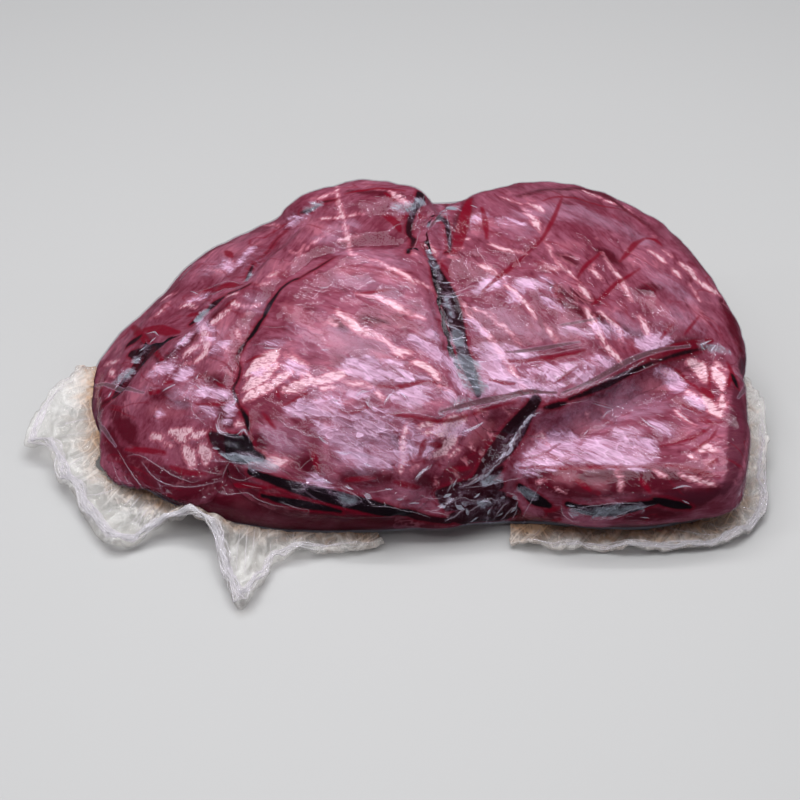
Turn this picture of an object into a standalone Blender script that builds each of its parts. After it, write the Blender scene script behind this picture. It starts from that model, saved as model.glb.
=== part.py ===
"""A clear vacuum bag drawn tight round a bundle of folded raw skirt steaks.

Frame: metres, +Z up, +X to the right and -Y towards the viewer. The origin is the middle
of the bounding box seen from above, on the surface that the pack lies on.

The filled part of the bag is one solid, made the way the pack is: each steak is a flat
slab with rounded edges, the slabs are draped over a pile, blood fills the clefts between
them, and the film is drawn over it all, which softens every edge. The margins of the bag
that hold nothing but air are two thin crumpled sheets round the foot of the pack.
"""

import math

import bmesh
import bpy
import numpy as np
from mathutils import Matrix, Vector

MM = 0.001

# ---------------------------------------------------------------- driving dimensions
# The pile's crowned surface, which the upper steaks follow
PILE_TOP = 97 * MM  # height of the crown above the table
PILE_CROWN = (10 * MM, 60 * MM)  # where the crown is highest, seen from above
FALL_LEFT = 215 * MM  # the crown falls by its own height over this distance
FALL_RIGHT = 240 * MM
FALL_FRONT = 225 * MM
FALL_BACK = 156 * MM
SIDE_POWER = 2.2
FRONT_SHOULDER = -72 * MM  # nearer than this the front rolls over to the table
SHOULDER_RADIUS = 34 * MM

FILM_VOXEL = 2.2 * MM  # how finely the film follows the meat
FILM_TENSION = 5  # smoothing passes: how far the film bridges each cleft
BASE_FLAT = 0.8 * MM  # how much the table flattens the underside
FILLED_BAG_FACES = 8000
FOLD_SHARPNESS = 0.42  # a fold's half width as a share of its width

FILM_CLEARANCE = 0.8 * MM  # between the empty margins and the filled part
FILM_SHEET = 1.0 * MM  # thickness of the two layers of film in a margin
LEFT_HEM = 4.4 * MM  # the crumpled, sealed edge of the left margin
RIGHT_HEM = 2.0 * MM
HEM_PLACE = 0.9  # where the hem is thickest, as a share of the margin's width
HEM_SPREAD = 0.09
CRUMPLE_HEIGHT = 1.3 * MM
TABLE_GAP = 0.1 * MM
MARGIN_ROWS = 9
COLUMNS_PER_STATION = 4

# Each steak: outline in millimetres seen from above, thickness, radius of its edge, and
# where its upper face lies: "rise" above the crowned surface, or a "plane" given as its
# height at the middle and its slopes. "floor" is the lowest height that it reaches.
STEAKS = {
    "lower_layer": dict(
        outline=[(-168, 10), (-124, 76), (-50, 105), (60, 110), (132, 84), (160, 14),
                 (156, -60), (134, -92), (40, -95), (-30, -102), (-84, -98), (-128, -78),
                 (-160, -36)],
        plane=(25, 0, 0), thickness=25, edge=11),
    "folded_at_the_back": dict(
        outline=[(-150, 20), (-122, 66), (-60, 98), (0, 102), (66, 108), (124, 86),
                 (154, 40), (158, 4), (120, -20), (0, -20), (-110, -10)],
        rise=-13, thickness=72, edge=22, floor=6),
    "back_left": dict(
        outline=[(-174, 14), (-168, 40), (-143, 58), (-117, 82), (-86, 92), (-58, 98),
                 (-46, 78), (-79, 50), (-97, 32), (-115, 26), (-137, 14), (-150, -6),
                 (-166, -18)],
        rise=-10, thickness=50, edge=13),
    "left_long": dict(
        outline=[(-6, 60), (-30, 66), (-52, 70), (-76, 42), (-95, 20), (-117, 6),
                 (-139, -4), (-158, -20), (-165, -40), (-157, -64), (-134, -82),
                 (-107, -92), (-94, -80), (-89, -52), (-86, -28), (-78, -7), (-64, 8),
                 (-37, 24), (-8, 34)],
        rise=-1, thickness=52, edge=11, floor=14),
    "centre": dict(
        outline=[(-38, 27), (-16, 26), (2, 20), (8, -18), (14, -46), (21, -68), (8, -90),
                 (-12, -106), (-44, -107), (-76, -98), (-93, -78), (-91, -50), (-88, -30),
                 (-80, -4), (-66, 12)],
        rise=1, thickness=56, edge=11, floor=17),
    "right": dict(
        outline=[(7, 25), (8, 48), (29, 74), (76, 106), (120, 88), (152, 48), (168, -4),
                 (163, -17), (141, -19), (119, -35), (99, -49), (70, -69), (46, -73),
                 (28, -71), (20, -46), (13, -18)],
        rise=0, thickness=24, edge=8),
    "front_right": dict(
        outline=[(50, -76), (62, -40), (110, -10), (158, -8), (164, -40), (162, -72),
                 (154, -96), (126, -105), (68, -105), (50, -96)],
        plane=(56, 0, 0.17), thickness=48, edge=13, floor=8),
    "front_middle": dict(
        outline=[(-16, -60), (40, -46), (62, -56), (56, -80), (40, -94), (-12, -98)],
        rise=-11, thickness=50, edge=10, floor=6),
    "top_back": dict(
        outline=[(-76, 74), (-54, 92), (-32, 98), (-10, 90), (9, 72), (4, 54),
                 (-16, 46), (-44, 54)],
        rise=3.5, thickness=40, edge=15),
    "blood_in_the_clefts": dict(
        outline=[(-160, 10), (-136, 48), (-112, 72), (-80, 82), (-40, 90), (20, 62),
                 (76, 96), (112, 80), (144, 44), (156, -4), (118, -26), (98, -40),
                 (69, -60), (44, -66), (16, -82), (-12, -96), (-44, -97), (-76, -88),
                 (-128, -74), (-150, -60), (-158, -36)],
        rise=-7, thickness=60, edge=9, floor=14),
}

# Tight folds of the film over the meat: a path seen from above in millimetres, how deep
# the fold presses in (negative stands proud) and its width.
FILM_FOLDS = [
    dict(path=[(73, 64), (71, 56), (65, 31), (49, 7), (30, -14)], depth=2.6, width=7),
    dict(path=[(119, 56), (114, 46), (100, 21)], depth=2.4, width=7),
    dict(path=[(113, 24), (97, 2), (80, -17)], depth=2.4, width=7),
    dict(path=[(33, 60), (35, 41), (34, 24)], depth=2.2, width=7),
    dict(path=[(36, -55), (63, -47), (88, -39)], depth=2.4, width=7),
    dict(path=[(-26, -63), (-8, -66), (10, -61)], depth=1.8, width=6),
    dict(path=[(-28, -76), (9, -79), (23, -75), (40, -70)], depth=-1.8, width=5),
    dict(path=[(150, -66), (131, -72), (112, -83)], depth=2.2, width=7),
    dict(path=[(150, -64), (145, -43), (142, -26)], depth=2.2, width=7),
    dict(path=[(150, -65), (133, -56), (114, -51)], depth=2.4, width=7),
    dict(path=[(62, -52), (50, -68), (34, -84)], depth=-2.4, width=6),
    dict(path=[(24, -77), (57, -69), (70, -69), (99, -49), (119, -35), (141, -19), (166, -16)],
         depth=-1.8, width=6),
    dict(path=[(44, -81), (60, -77), (74, -75), (102, -56), (122, -42), (143, -27), (166, -24)],
         depth=4, width=7),
    dict(path=[(-98, 43), (-108, 34), (-124, 27), (-140, 20)], depth=2.2, width=8),
    dict(path=[(-68, 66), (-84, 72), (-104, 66)], depth=1.8, width=6),
]

# The empty margins of the bag. Each station across a margin: (x, y, height) where the
# film leaves the foot of the pack, and (x, y, height) of its free edge.
LEFT_MARGIN = [
    ((-164, 22, 15), (-180, 20, 18)), ((-166, 8, 14), (-190, 4, 16)),
    ((-162, -8, 13), (-199, -14, 11)), ((-160, -22, 11), (-202, -34, 8)),
    ((-158, -34, 10), (-189, -40, 10)), ((-154, -46, 9), (-183, -58, 7)),
    ((-148, -58, 8), (-173, -72, 6)), ((-140, -66, 7), (-163, -94, 5)),
    ((-132, -70, 7), (-150, -112, 5)), ((-126, -74, 7), (-139, -110, 5)),
    ((-120, -77, 7), (-130, -102, 8)), ((-113, -80, 8), (-121, -98, 12)),
    ((-106, -83, 8), (-111, -99, 15)), ((-100, -85, 8), (-101, -106, 12)),
    ((-94, -87, 7), (-96, -122, 8)), ((-89, -88, 6), (-92, -140, 5)),
    ((-84, -89, 6), (-84, -157, 5)), ((-79, -90, 5), (-76, -142, 5)),
    ((-72, -91, 4), (-70, -124, 5)), ((-60, -92, 4), (-57, -116, 5)),
    ((-42, -94, 3), (-36, -114, 4)), ((-22, -94, 3), (-18, -110, 4)),
]
RIGHT_MARGIN = [
    ((156, 8, 17), (172, 8, 20)), ((156, -12, 14), (178, -10, 17)),
    ((156, -34, 10), (177, -38, 11)), ((154, -56, 7), (173, -60, 8)),
    ((150, -74, 5), (172, -80, 5)), ((146, -84, 4), (165, -94, 4)),
    ((138, -90, 3), (152, -106, 4)), ((122, -94, 3), (131, -111, 3)),
    ((104, -95, 3), (106, -113, 4)), ((84, -95, 3), (86, -112, 3)),
    ((62, -94, 3), (64, -112, 4)), ((44, -92, 3), (44, -108, 3)),
]


def clear_scene():
    for old in list(bpy.data.objects):
        bpy.data.objects.remove(old)


def collection(name):
    made = bpy.data.collections.new(name)
    bpy.context.scene.collection.children.link(made)
    return made


def material(name, colour, roughness, alpha=1.0):
    made = bpy.data.materials.new(name)
    made.use_nodes = True
    shader = made.node_tree.nodes["Principled BSDF"]
    shader.inputs["Base Color"].default_value = (*colour, 1)
    shader.inputs["Roughness"].default_value = roughness
    shader.inputs["Metallic"].default_value = 0.0
    shader.inputs["Alpha"].default_value = alpha
    return made


def settle(obj):
    """Applies the object's modifiers to its mesh."""
    bpy.context.view_layer.update()
    graph = bpy.context.evaluated_depsgraph_get()
    mesh = bpy.data.meshes.new_from_object(obj.evaluated_get(graph))
    obj.modifiers.clear()
    obj.data = mesh


def pile_height(x, y):
    """Height of the pile's crowned surface over the table at (x, y)."""
    dx = x - PILE_CROWN[0]
    dy = y - PILE_CROWN[1]
    sideways = abs(dx / (FALL_RIGHT if dx > 0 else FALL_LEFT)) ** SIDE_POWER
    lengthways = (dy / (FALL_BACK if dy > 0 else FALL_FRONT)) ** 2
    past_shoulder = max(0.0, FRONT_SHOULDER - y)
    rollover = past_shoulder**2 / (2 * SHOULDER_RADIUS)
    return PILE_TOP * (1 - sideways - lengthways) - rollover


def upper_face(spec, x, y):
    """Height of a steak's upper face over the table at (x, y)."""
    if "plane" in spec:
        middle, slope_x, slope_y = spec["plane"]
        return middle * MM + slope_x * x + slope_y * y
    return pile_height(x, y) + spec["rise"] * MM


def slab(name, spec, home):
    """A flat slab with a rounded edge, lying with its upper face at height 0."""
    thickness, edge = spec["thickness"] * MM, spec["edge"] * MM
    curve = bpy.data.curves.new(name, "CURVE")
    curve.dimensions = "2D"
    curve.fill_mode = "BOTH"
    curve.resolution_u = 8
    curve.offset = -edge
    curve.extrude = thickness / 2 - edge
    curve.bevel_depth = edge
    curve.bevel_resolution = 4
    spline = curve.splines.new("BEZIER")
    spline.bezier_points.add(len(spec["outline"]) - 1)
    for point, (x, y) in zip(spline.bezier_points, spec["outline"]):
        point.co = (x * MM, y * MM, 0)
        point.handle_left_type = point.handle_right_type = "AUTO"
    spline.use_cyclic_u = True
    blank = bpy.data.objects.new(name, curve)
    blank.location.z = -thickness / 2
    home.objects.link(blank)
    bpy.context.view_layer.update()
    graph = bpy.context.evaluated_depsgraph_get()
    mesh = bpy.data.meshes.new_from_object(blank.evaluated_get(graph))
    mesh.transform(blank.matrix_world)
    bpy.data.objects.remove(blank)
    made = bpy.data.objects.new(name, mesh)
    home.objects.link(made)
    return made


def even_out(obj, voxel):
    """Remeshes obj evenly and closes every seam in it."""
    remesh = obj.modifiers.new("even", "REMESH")
    remesh.mode = "VOXEL"
    remesh.voxel_size = voxel
    settle(obj)


def drape(obj, spec):
    """Lays a flat slab on the pile, squashed where it would sink below its floor."""
    floor = spec.get("floor", 0) * MM
    for vertex in obj.data.vertices:
        x, y, below = vertex.co
        top = upper_face(spec, x, y)
        squash = (top - floor) / (spec["thickness"] * MM)
        vertex.co.z = top + below * min(1.0, max(0.1, squash))


def coordinates(mesh):
    flat = np.empty(3 * len(mesh.vertices))
    mesh.vertices.foreach_get("co", flat)
    return flat.reshape(-1, 3)


def distance_to_path(points, path):
    """Each point's distance to a path seen from above, and how far along it that is."""
    nearest = np.full(len(points), np.inf)
    along = np.zeros(len(points))
    corners = [np.array(corner) * MM for corner in path]
    for n, (a, b) in enumerate(zip(corners, corners[1:])):
        ab = b - a
        t = np.clip((points[:, :2] - a) @ ab / (ab @ ab), 0, 1)
        gap = np.linalg.norm(points[:, :2] - (a + t[:, None] * ab), axis=1)
        closer = gap < nearest
        nearest[closer] = gap[closer]
        along[closer] = (n + t[closer]) / (len(corners) - 1)
    return nearest, along


def press_folds(obj):
    """Presses the film's tight folds into the upper side of the filled bag."""
    mesh = obj.data
    points = coordinates(mesh)
    facing_up = np.array([normal.vector.z > 0.15 for normal in mesh.vertex_normals])
    for fold in FILM_FOLDS:
        gap, along = distance_to_path(points, fold["path"])
        across = np.exp(-((gap / (FOLD_SHARPNESS * fold["width"] * MM)) ** 2))
        fade = np.sqrt(np.sin(np.pi * np.clip(along, 0.06, 0.94)))
        points[:, 2] -= fold["depth"] * MM * across * fade * facing_up
    mesh.vertices.foreach_set("co", points.ravel())
    mesh.update()


def cut_flat_base(obj):
    """Slices the underside off level with the table and closes the cut."""
    shape = bmesh.new()
    shape.from_mesh(obj.data)
    bmesh.ops.bisect_plane(
        shape, geom=shape.verts[:] + shape.edges[:] + shape.faces[:], dist=1e-7,
        plane_co=(0, 0, BASE_FLAT), plane_no=(0, 0, 1), clear_inner=True)
    rim = [edge for edge in shape.edges if edge.is_boundary]
    bmesh.ops.edgeloop_fill(shape, edges=rim)
    bmesh.ops.triangulate(shape, faces=shape.faces[:])
    bmesh.ops.translate(shape, verts=shape.verts[:], vec=(0, 0, -BASE_FLAT))
    bmesh.ops.recalc_face_normals(shape, faces=shape.faces[:])
    shape.to_mesh(obj.data)
    shape.free()


def filled_bag(home, bench):
    """The steaks in the bag with the film drawn tight over them, as one solid."""
    bundle = bmesh.new()
    for name, spec in STEAKS.items():
        steak = slab(name, spec, bench)
        even_out(steak, FILM_VOXEL)
        drape(steak, spec)
        bundle.from_mesh(steak.data)
        bpy.data.objects.remove(steak)
    mesh = bpy.data.meshes.new("filled_bag")
    bundle.to_mesh(mesh)
    bundle.free()
    bag = bpy.data.objects.new("filled_bag", mesh)
    home.objects.link(bag)
    even_out(bag, FILM_VOXEL)
    press_folds(bag)
    tension = bag.modifiers.new("film tension", "SMOOTH")
    tension.factor = 0.5
    tension.iterations = FILM_TENSION
    settle(bag)
    coarser = bag.modifiers.new("fewer faces", "DECIMATE")
    coarser.ratio = FILLED_BAG_FACES / (2 * len(bag.data.polygons))
    settle(bag)
    cut_flat_base(bag)
    return bag


def along_stations(stations, t):
    """Both ends of a margin at t, which counts stations, on smooth curves."""
    n = min(int(t), len(stations) - 2)
    f = t - n
    around = [stations[min(max(n + k, 0), len(stations) - 1)] for k in (-1, 0, 1, 2)]
    ends = []
    for side in (0, 1):
        a, b, c, d = (Vector(station[side]) * MM for station in around)
        ends.append(0.5 * (2 * b + (c - a) * f + (2 * a - 5 * b + 4 * c - d) * f**2
                           + (3 * b - a - 3 * c + d) * f**3))
    return ends


def empty_margin(name, stations, hem, home):
    """A crumpled margin of film from the foot of the pack to its thicker sealed hem."""
    columns = COLUMNS_PER_STATION * (len(stations) - 1)
    sheet = bmesh.new()
    bmesh.ops.create_grid(
        sheet, x_segments=columns, y_segments=MARGIN_ROWS, size=0.5)
    mesh = bpy.data.meshes.new(name)
    sheet.to_mesh(mesh)
    sheet.free()
    obj = bpy.data.objects.new(name, mesh)
    home.objects.link(obj)
    thickness = obj.vertex_groups.new(name="thickness")
    for vertex in mesh.vertices:
        t = (vertex.co.x + 0.5) * (len(stations) - 1)
        out = vertex.co.y + 0.5
        inner, outer = along_stations(stations, t)
        place = inner.lerp(outer, out)
        crumple = math.sin(5.3 * t + 2.2 * out) + 0.6 * math.sin(2.9 * t - 4 * out + 1)
        place.z += CRUMPLE_HEIGHT * crumple * out**0.7
        swell = math.exp(-(((out - HEM_PLACE) / HEM_SPREAD) ** 2))
        thick = FILM_SHEET + (hem - FILM_SHEET) * swell
        place.z = max(place.z, thick / 2 + TABLE_GAP)
        vertex.co = place
        thickness.add([vertex.index], thick / hem, "REPLACE")
    walls = obj.modifiers.new("two layers of film", "SOLIDIFY")
    walls.thickness = hem
    walls.offset = 0
    walls.vertex_group = "thickness"
    settle(obj)
    return obj


def trim_to_bag(obj, bag, bench):
    """Cuts a margin back so that it clears the filled bag."""
    cutter = bpy.data.objects.new("clearance", bag.data.copy())
    bench.objects.link(cutter)
    grow = cutter.modifiers.new("clearance", "DISPLACE")
    grow.mid_level = 0
    grow.strength = FILM_CLEARANCE
    settle(cutter)
    cut = obj.modifiers.new("clear of the bag", "BOOLEAN")
    cut.operation = "DIFFERENCE"
    cut.solver = "EXACT"
    cut.object = cutter
    settle(obj)
    bpy.data.objects.remove(cutter)


def put_origin_in_the_middle(pieces):
    """Moves every piece so that the origin is the middle of the pack's footprint."""
    everything = np.concatenate([coordinates(piece.data) for piece in pieces])
    low, high = everything.min(axis=0), everything.max(axis=0)
    middle = Vector(((low[0] + high[0]) / 2, (low[1] + high[1]) / 2, low[2]))
    for piece in pieces:
        piece.data.transform(Matrix.Translation(-middle))
        piece.data.update()
    print("middle moved by", [round(c / MM, 2) for c in middle])


def main():
    clear_scene()
    pack = collection("vacuum_packed_skirt_steak")
    bench = collection("blanks")
    meat = material("meat under film", (0.23, 0.035, 0.065), 0.22)
    film = material("clear film", (0.80, 0.80, 0.80), 0.15, 0.35)
    bag = filled_bag(pack, bench)
    left = empty_margin("bag_tail", LEFT_MARGIN, LEFT_HEM, pack)
    right = empty_margin("bag_end_skirt", RIGHT_MARGIN, RIGHT_HEM, pack)
    for margin in (left, right):
        trim_to_bag(margin, bag, bench)
    for piece, finish in ((bag, meat), (left, film), (right, film)):
        piece.data.materials.clear()
        piece.data.materials.append(finish)
    put_origin_in_the_middle((bag, left, right))
    bpy.data.collections.remove(bench)


main()
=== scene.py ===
# %% [markdown]
# # A vacuum pack of raw skirt steak
#
# Folded skirt steaks lie in a clear bag that was emptied of air, so the film is drawn
# tight over the meat, bridges the clefts between the steaks and creases where it has too
# much slack. Dark blood has run into the clefts. The margins of the bag that hold nothing
# lie crumpled round the foot of the pack.
#
# The order of work is: load the solid model, set up the view, dress the filled bag with
# meat, blood and film, then make the empty margins.

import math
import random

import bmesh
import bpy
import numpy as np
from mathutils import Matrix, Vector, noise
from mathutils.bvhtree import BVHTree


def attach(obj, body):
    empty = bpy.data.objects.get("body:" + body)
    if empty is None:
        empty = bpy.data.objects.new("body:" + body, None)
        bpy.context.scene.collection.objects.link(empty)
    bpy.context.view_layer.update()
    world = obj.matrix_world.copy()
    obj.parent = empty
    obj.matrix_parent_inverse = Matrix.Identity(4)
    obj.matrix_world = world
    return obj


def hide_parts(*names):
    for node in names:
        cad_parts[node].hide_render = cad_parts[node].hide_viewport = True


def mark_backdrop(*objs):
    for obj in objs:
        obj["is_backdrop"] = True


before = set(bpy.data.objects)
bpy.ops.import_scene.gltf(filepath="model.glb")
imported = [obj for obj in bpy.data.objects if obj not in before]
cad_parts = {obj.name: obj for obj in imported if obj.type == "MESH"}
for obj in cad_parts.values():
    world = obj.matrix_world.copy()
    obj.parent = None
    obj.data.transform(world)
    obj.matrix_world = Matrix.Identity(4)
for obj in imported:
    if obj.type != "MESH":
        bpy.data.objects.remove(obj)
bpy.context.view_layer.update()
MM = 0.001
print("solids:", sorted(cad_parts))

# %% [markdown]
# ## The view
#
# The pack is seen from the front and from 36 degrees above, from rather far away, so its
# lines hardly converge. A long lens does that. The same camera also places details: a
# spot that is seen at some pixel lies where the line of sight through that pixel meets
# the pack.

# %% The camera
PHOTO_SIDE = 800
SENSOR = 36
LENS = 99
VIEW_RISE = math.radians(36)
VIEW_DISTANCE = 1.1
LOOK_AT = Vector((2.15, -18.2, 40)) * MM

towards_camera = Vector((0, -math.cos(VIEW_RISE), math.sin(VIEW_RISE)))
camera = bpy.data.objects.new("camera", bpy.data.cameras.new("camera"))
bpy.context.scene.collection.objects.link(camera)
camera.data.lens = LENS
camera.data.sensor_width = SENSOR
camera.location = LOOK_AT + VIEW_DISTANCE * towards_camera
camera.rotation_euler = towards_camera.to_track_quat("Z", "Y").to_euler()
bpy.context.scene.camera = camera


def line_of_sight(pixel):
    """The direction from the camera through a pixel of the 800 x 800 picture."""
    x, y = pixel
    reach = LENS / SENSOR * PHOTO_SIDE
    seen = Vector(((x - PHOTO_SIDE / 2) / reach, (PHOTO_SIDE / 2 - y) / reach, -1))
    return (camera.rotation_euler.to_matrix() @ seen).normalized()


print("camera at", [round(c, 3) for c in camera.location])

# %% [markdown]
# ## Light and floor
#
# Film under studio lamps shows their reflections, so the lamps matter as much as the film.
# Two kinds share the work. Large soft lamps light the meat, and the film that faces them
# mirrors them as a faint lilac sheen. Long narrow ones give the glints: every crease that
# happens to face one of them flashes. The pale floor isn't mirrored in the film, because a
# table seen in it would grey the dark meat along the foot.

# %% Lamps, floor and colour
FLOOR_GREY = (0.455, 0.455, 0.46)
FLOOR_SIDE = 12
ROOM_COLOUR = (0.93, 0.95, 1.0)
ROOM_STRENGTH = 0.10
SOFT_LAMPS = {
    "soft, over the pack": dict(place=(0.0, 0.24, 1.3), size=(1.3, 1.0), power=19),
    "soft, in front on the left": dict(place=(-0.44, -0.60, 1.2), size=(0.52, 0.45), power=3.2),
}
NARROW_LAMPS = {
    "narrow, in front": dict(place=(0.0, -1.35, 0.62), size=(1.1, 0.03), power=1.9),
    "narrow, behind": dict(place=(0.0, 0.55, 1.15), size=(1.2, 0.035), power=3.0),
    "narrow, left": dict(place=(-0.95, -0.2, 0.9), size=(0.025, 0.9), power=2.3),
    "narrow, right": dict(place=(0.95, -0.1, 0.8), size=(0.025, 0.9), power=2.0),
}


def lamp(name, place, size, power):
    light = bpy.data.lights.new(name, "AREA")
    light.shape = "RECTANGLE"
    light.size, light.size_y = size
    light.energy = power
    made = bpy.data.objects.new(name, light)
    bpy.context.scene.collection.objects.link(made)
    made.location = place
    made.rotation_euler = (Vector(place) - LOOK_AT).to_track_quat("Z", "Y").to_euler()
    return made


def rgba(colour):
    """A colour's three numbers as the four that an input takes. A node's output stays itself."""
    return (*colour, 1) if isinstance(colour, tuple) else colour


def plain_material(name, colour, roughness):
    made = bpy.data.materials.new(name)
    made.use_nodes = True
    shader = made.node_tree.nodes["Principled BSDF"]
    shader.inputs["Base Color"].default_value = rgba(colour)
    shader.inputs["Roughness"].default_value = roughness
    return made


def floor(side):
    shape = bmesh.new()
    bmesh.ops.create_grid(shape, x_segments=1, y_segments=1, size=side / 2)
    mesh = bpy.data.meshes.new("floor")
    shape.to_mesh(mesh)
    shape.free()
    made = bpy.data.objects.new("floor", mesh)
    bpy.context.scene.collection.objects.link(made)
    made.data.materials.append(plain_material("pale floor", FLOOR_GREY, 0.55))
    made.visible_glossy = False
    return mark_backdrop(made)


for name, spec in (SOFT_LAMPS | NARROW_LAMPS).items():
    lamp(name, **spec)
floor(FLOOR_SIDE)
world = bpy.data.worlds.new("room")
world.use_nodes = True
background = world.node_tree.nodes["Background"]
background.inputs["Color"].default_value = rgba(ROOM_COLOUR)
background.inputs["Strength"].default_value = ROOM_STRENGTH
bpy.context.scene.world = world
bpy.context.scene.view_settings.view_transform = "Standard"
bpy.context.scene.cycles.diffuse_bounces = 2
print(len(SOFT_LAMPS), "soft lamps and", len(NARROW_LAMPS), "narrow ones")

# %% [markdown]
# ## Mesh helpers
#
# Most pieces here are dense meshes that are bent and pressed by rules, so the points are
# read into an array, moved there, and written back.

# %% Reading and writing points


def piece(name, mesh):
    made = bpy.data.objects.new(name, mesh)
    bpy.context.scene.collection.objects.link(made)
    return made


def points_of(mesh):
    flat = np.empty(3 * len(mesh.vertices), np.float32)
    mesh.vertices.foreach_get("co", flat)
    return flat.reshape(-1, 3).astype(float)


def normals_of(mesh):
    flat = np.empty(3 * len(mesh.vertices), np.float32)
    mesh.vertex_normals.foreach_get("vector", flat)
    return flat.reshape(-1, 3).astype(float)


def move_points(mesh, points):
    mesh.vertices.foreach_set("co", points.astype(np.float32).ravel())
    mesh.update()


def paint(mesh, name, values):
    """Keeps one number at every point, which a material can read by its name."""
    layer = mesh.attributes.get(name) or mesh.attributes.new(name, "FLOAT", "POINT")
    layer.data.foreach_set("value", np.asarray(values, np.float32))


def finished_mesh(obj):
    """A new mesh of what an object's modifiers or curve settings make."""
    bpy.context.view_layer.update()
    graph = bpy.context.evaluated_depsgraph_get()
    return bpy.data.meshes.new_from_object(obj.evaluated_get(graph))


def mesh_of_curve(curve):
    blank = piece(curve.name + " curve", curve)
    mesh = finished_mesh(blank)
    bpy.data.objects.remove(blank)
    return mesh


def settle(obj):
    """Applies the modifiers to the mesh and shades it smooth."""
    mesh = finished_mesh(obj)
    obj.modifiers.clear()
    obj.data = mesh
    mesh.shade_smooth()


def relax(obj, passes):
    smooth = obj.modifiers.new("relax", "SMOOTH")
    smooth.factor = 0.5
    smooth.iterations = passes


def even_out(obj, voxel, passes=0):
    """Remeshes a closed piece evenly, then smooths it a few times."""
    remesh = obj.modifiers.new("even", "REMESH")
    remesh.mode = "VOXEL"
    remesh.voxel_size = voxel
    if passes:
        relax(obj, passes)
    settle(obj)


def surface_tree(obj):
    bpy.context.view_layer.update()
    return BVHTree.FromObject(obj, bpy.context.evaluated_depsgraph_get())


def clamp01(values):
    return np.clip(values, 0, 1)


def ease(low, high, values):
    """0 below low, 1 above high and a smooth curve between."""
    t = clamp01((values - low) / (high - low))
    return t * t * (3 - 2 * t)


print("mesh helpers ready")

# %% [markdown]
# ## The tight surface
#
# The solid already has the pack's true form. A merged copy of it is remeshed evenly, and
# the part that is seen is divided once more, because film creases are only a millimetre
# or two wide. This surface then guides everything: the film is it plus creases, and the
# meat and the blood lie just below it.

# %% The tight surface
TIGHT_VOXEL = 2.4 * MM
SAME_POINT = 0.001 * MM
# Faces that turn further away from the camera, or further down, than this stay coarse.
FINE_FROM = -0.08
FINE_UNDERNEATH = -0.6


def merged_copy(name, node):
    shape = bmesh.new()
    shape.from_mesh(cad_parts[node].data)
    bmesh.ops.remove_doubles(shape, verts=shape.verts[:], dist=SAME_POINT)
    mesh = bpy.data.meshes.new(name)
    shape.to_mesh(mesh)
    shape.free()
    mesh.materials.clear()
    return piece(name, mesh)


def faces_camera(face):
    return face.normal.dot(towards_camera) > FINE_FROM and face.normal.z > FINE_UNDERNEATH


def refine_seen_side(obj, shows=lambda face: True):
    """Divides the faces that are turned to the camera, where they show."""
    shape = bmesh.new()
    shape.from_mesh(obj.data)
    seen = set()
    for face in shape.faces:
        if faces_camera(face) and shows(face):
            seen.update(face.edges)
    bmesh.ops.subdivide_edges(shape, edges=list(seen), cuts=1, use_grid_fill=True)
    bmesh.ops.triangulate(shape, faces=[f for f in shape.faces if len(f.verts) > 4])
    shape.to_mesh(obj.data)
    shape.free()
    obj.data.shade_smooth()


film = merged_copy("film", "filled_bag")
even_out(film, TIGHT_VOXEL, passes=2)
refine_seen_side(film)
print("tight surface:", len(film.data.vertices), "points")

# %% [markdown]
# ## Lumps in the meat
#
# Meat under tight film isn't smooth: muscle bundles and lumps of fat swell and sink by a
# millimetre. Layers of soft noise do that. They come before anything is fitted to the
# surface, so meat, blood and film share them.

# %% Lumps
LUMPS = [(30 * MM, 1.6 * MM), (12 * MM, 0.9 * MM), (5.5 * MM, 0.32 * MM)]  # size, height
FLAT_FOOT = (2 * MM, 10 * MM)  # relief fades out between these heights over the table


def noise_at(points, size, seed=0.0):
    shift = Vector((seed, 1.7 * seed, -0.6 * seed))
    return np.array([noise.noise(Vector(p) / size + shift) for p in points])


surface = points_of(film.data)
outward = normals_of(film.data)
off_table = ease(*FLAT_FOOT, surface[:, 2])


def raised(points, height):
    """The points moved outwards by a height at each, which fades out at the table."""
    return points + outward * (height * off_table)[:, None]


for n, (size, height) in enumerate(LUMPS):
    surface = raised(surface, height * noise_at(surface, size, 3.1 * n))
move_points(film.data, surface)
outward = normals_of(film.data)
tight = surface_tree(film)
print("lumps on", len(surface), "points")

# %% [markdown]
# ## Spots and strokes
#
# Fat seams, blood pockets and folds of film each have a place on the pack. Each is a
# stroke: a width in millimetres and the pixels it passes through. A pixel becomes a spot
# on the tight surface, so a stroke lies on the pack from whichever side it is seen.
#
# A few pixels are enough, because a smooth curve is laid through them. It is made of cubic
# pieces whose direction at each corner is taken from the corners on either side, so it
# passes through every corner.

# %% Smooth tapered paths


def smooth_path(corners, step):
    """Points at even steps along a smooth curve through the corners."""
    corners = [Vector(c) for c in corners]
    ends = [2 * corners[0] - corners[1], *corners, 2 * corners[-1] - corners[-2]]
    path = []
    for a, b, c, d in zip(ends, ends[1:], ends[2:], ends[3:]):
        count = max(1, round((c - b).length / step))
        for n in range(count):
            t = n / count
            path.append(0.5 * (2 * b + (c - a) * t + (2 * a - 5 * b + 4 * c - d) * t * t
                               + (3 * b - a - 3 * c + d) * t**3))
    return path + [corners[-1]]


def taper(count, radius, least=0.06, pointed=0.6):
    """The radius at each of a path's points: full in the middle, thin at both ends."""
    return [radius * max(least, math.sin(math.pi * (n + 0.35) / (count - 0.3)) ** pointed)
            for n in range(count)]


print("a path of 8 points tapers as", [round(radius, 2) for radius in taper(8, 1.0)])

# %% [markdown]
# ### From strokes to a field
#
# Painting each stroke as its own mesh would leave hard edges. Instead every point of a
# mesh keeps one number, how far inside the nearest stroke it lies, in millimetres. The
# material adds noise to that number before it draws the edge, so the edge comes out frayed.

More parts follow.
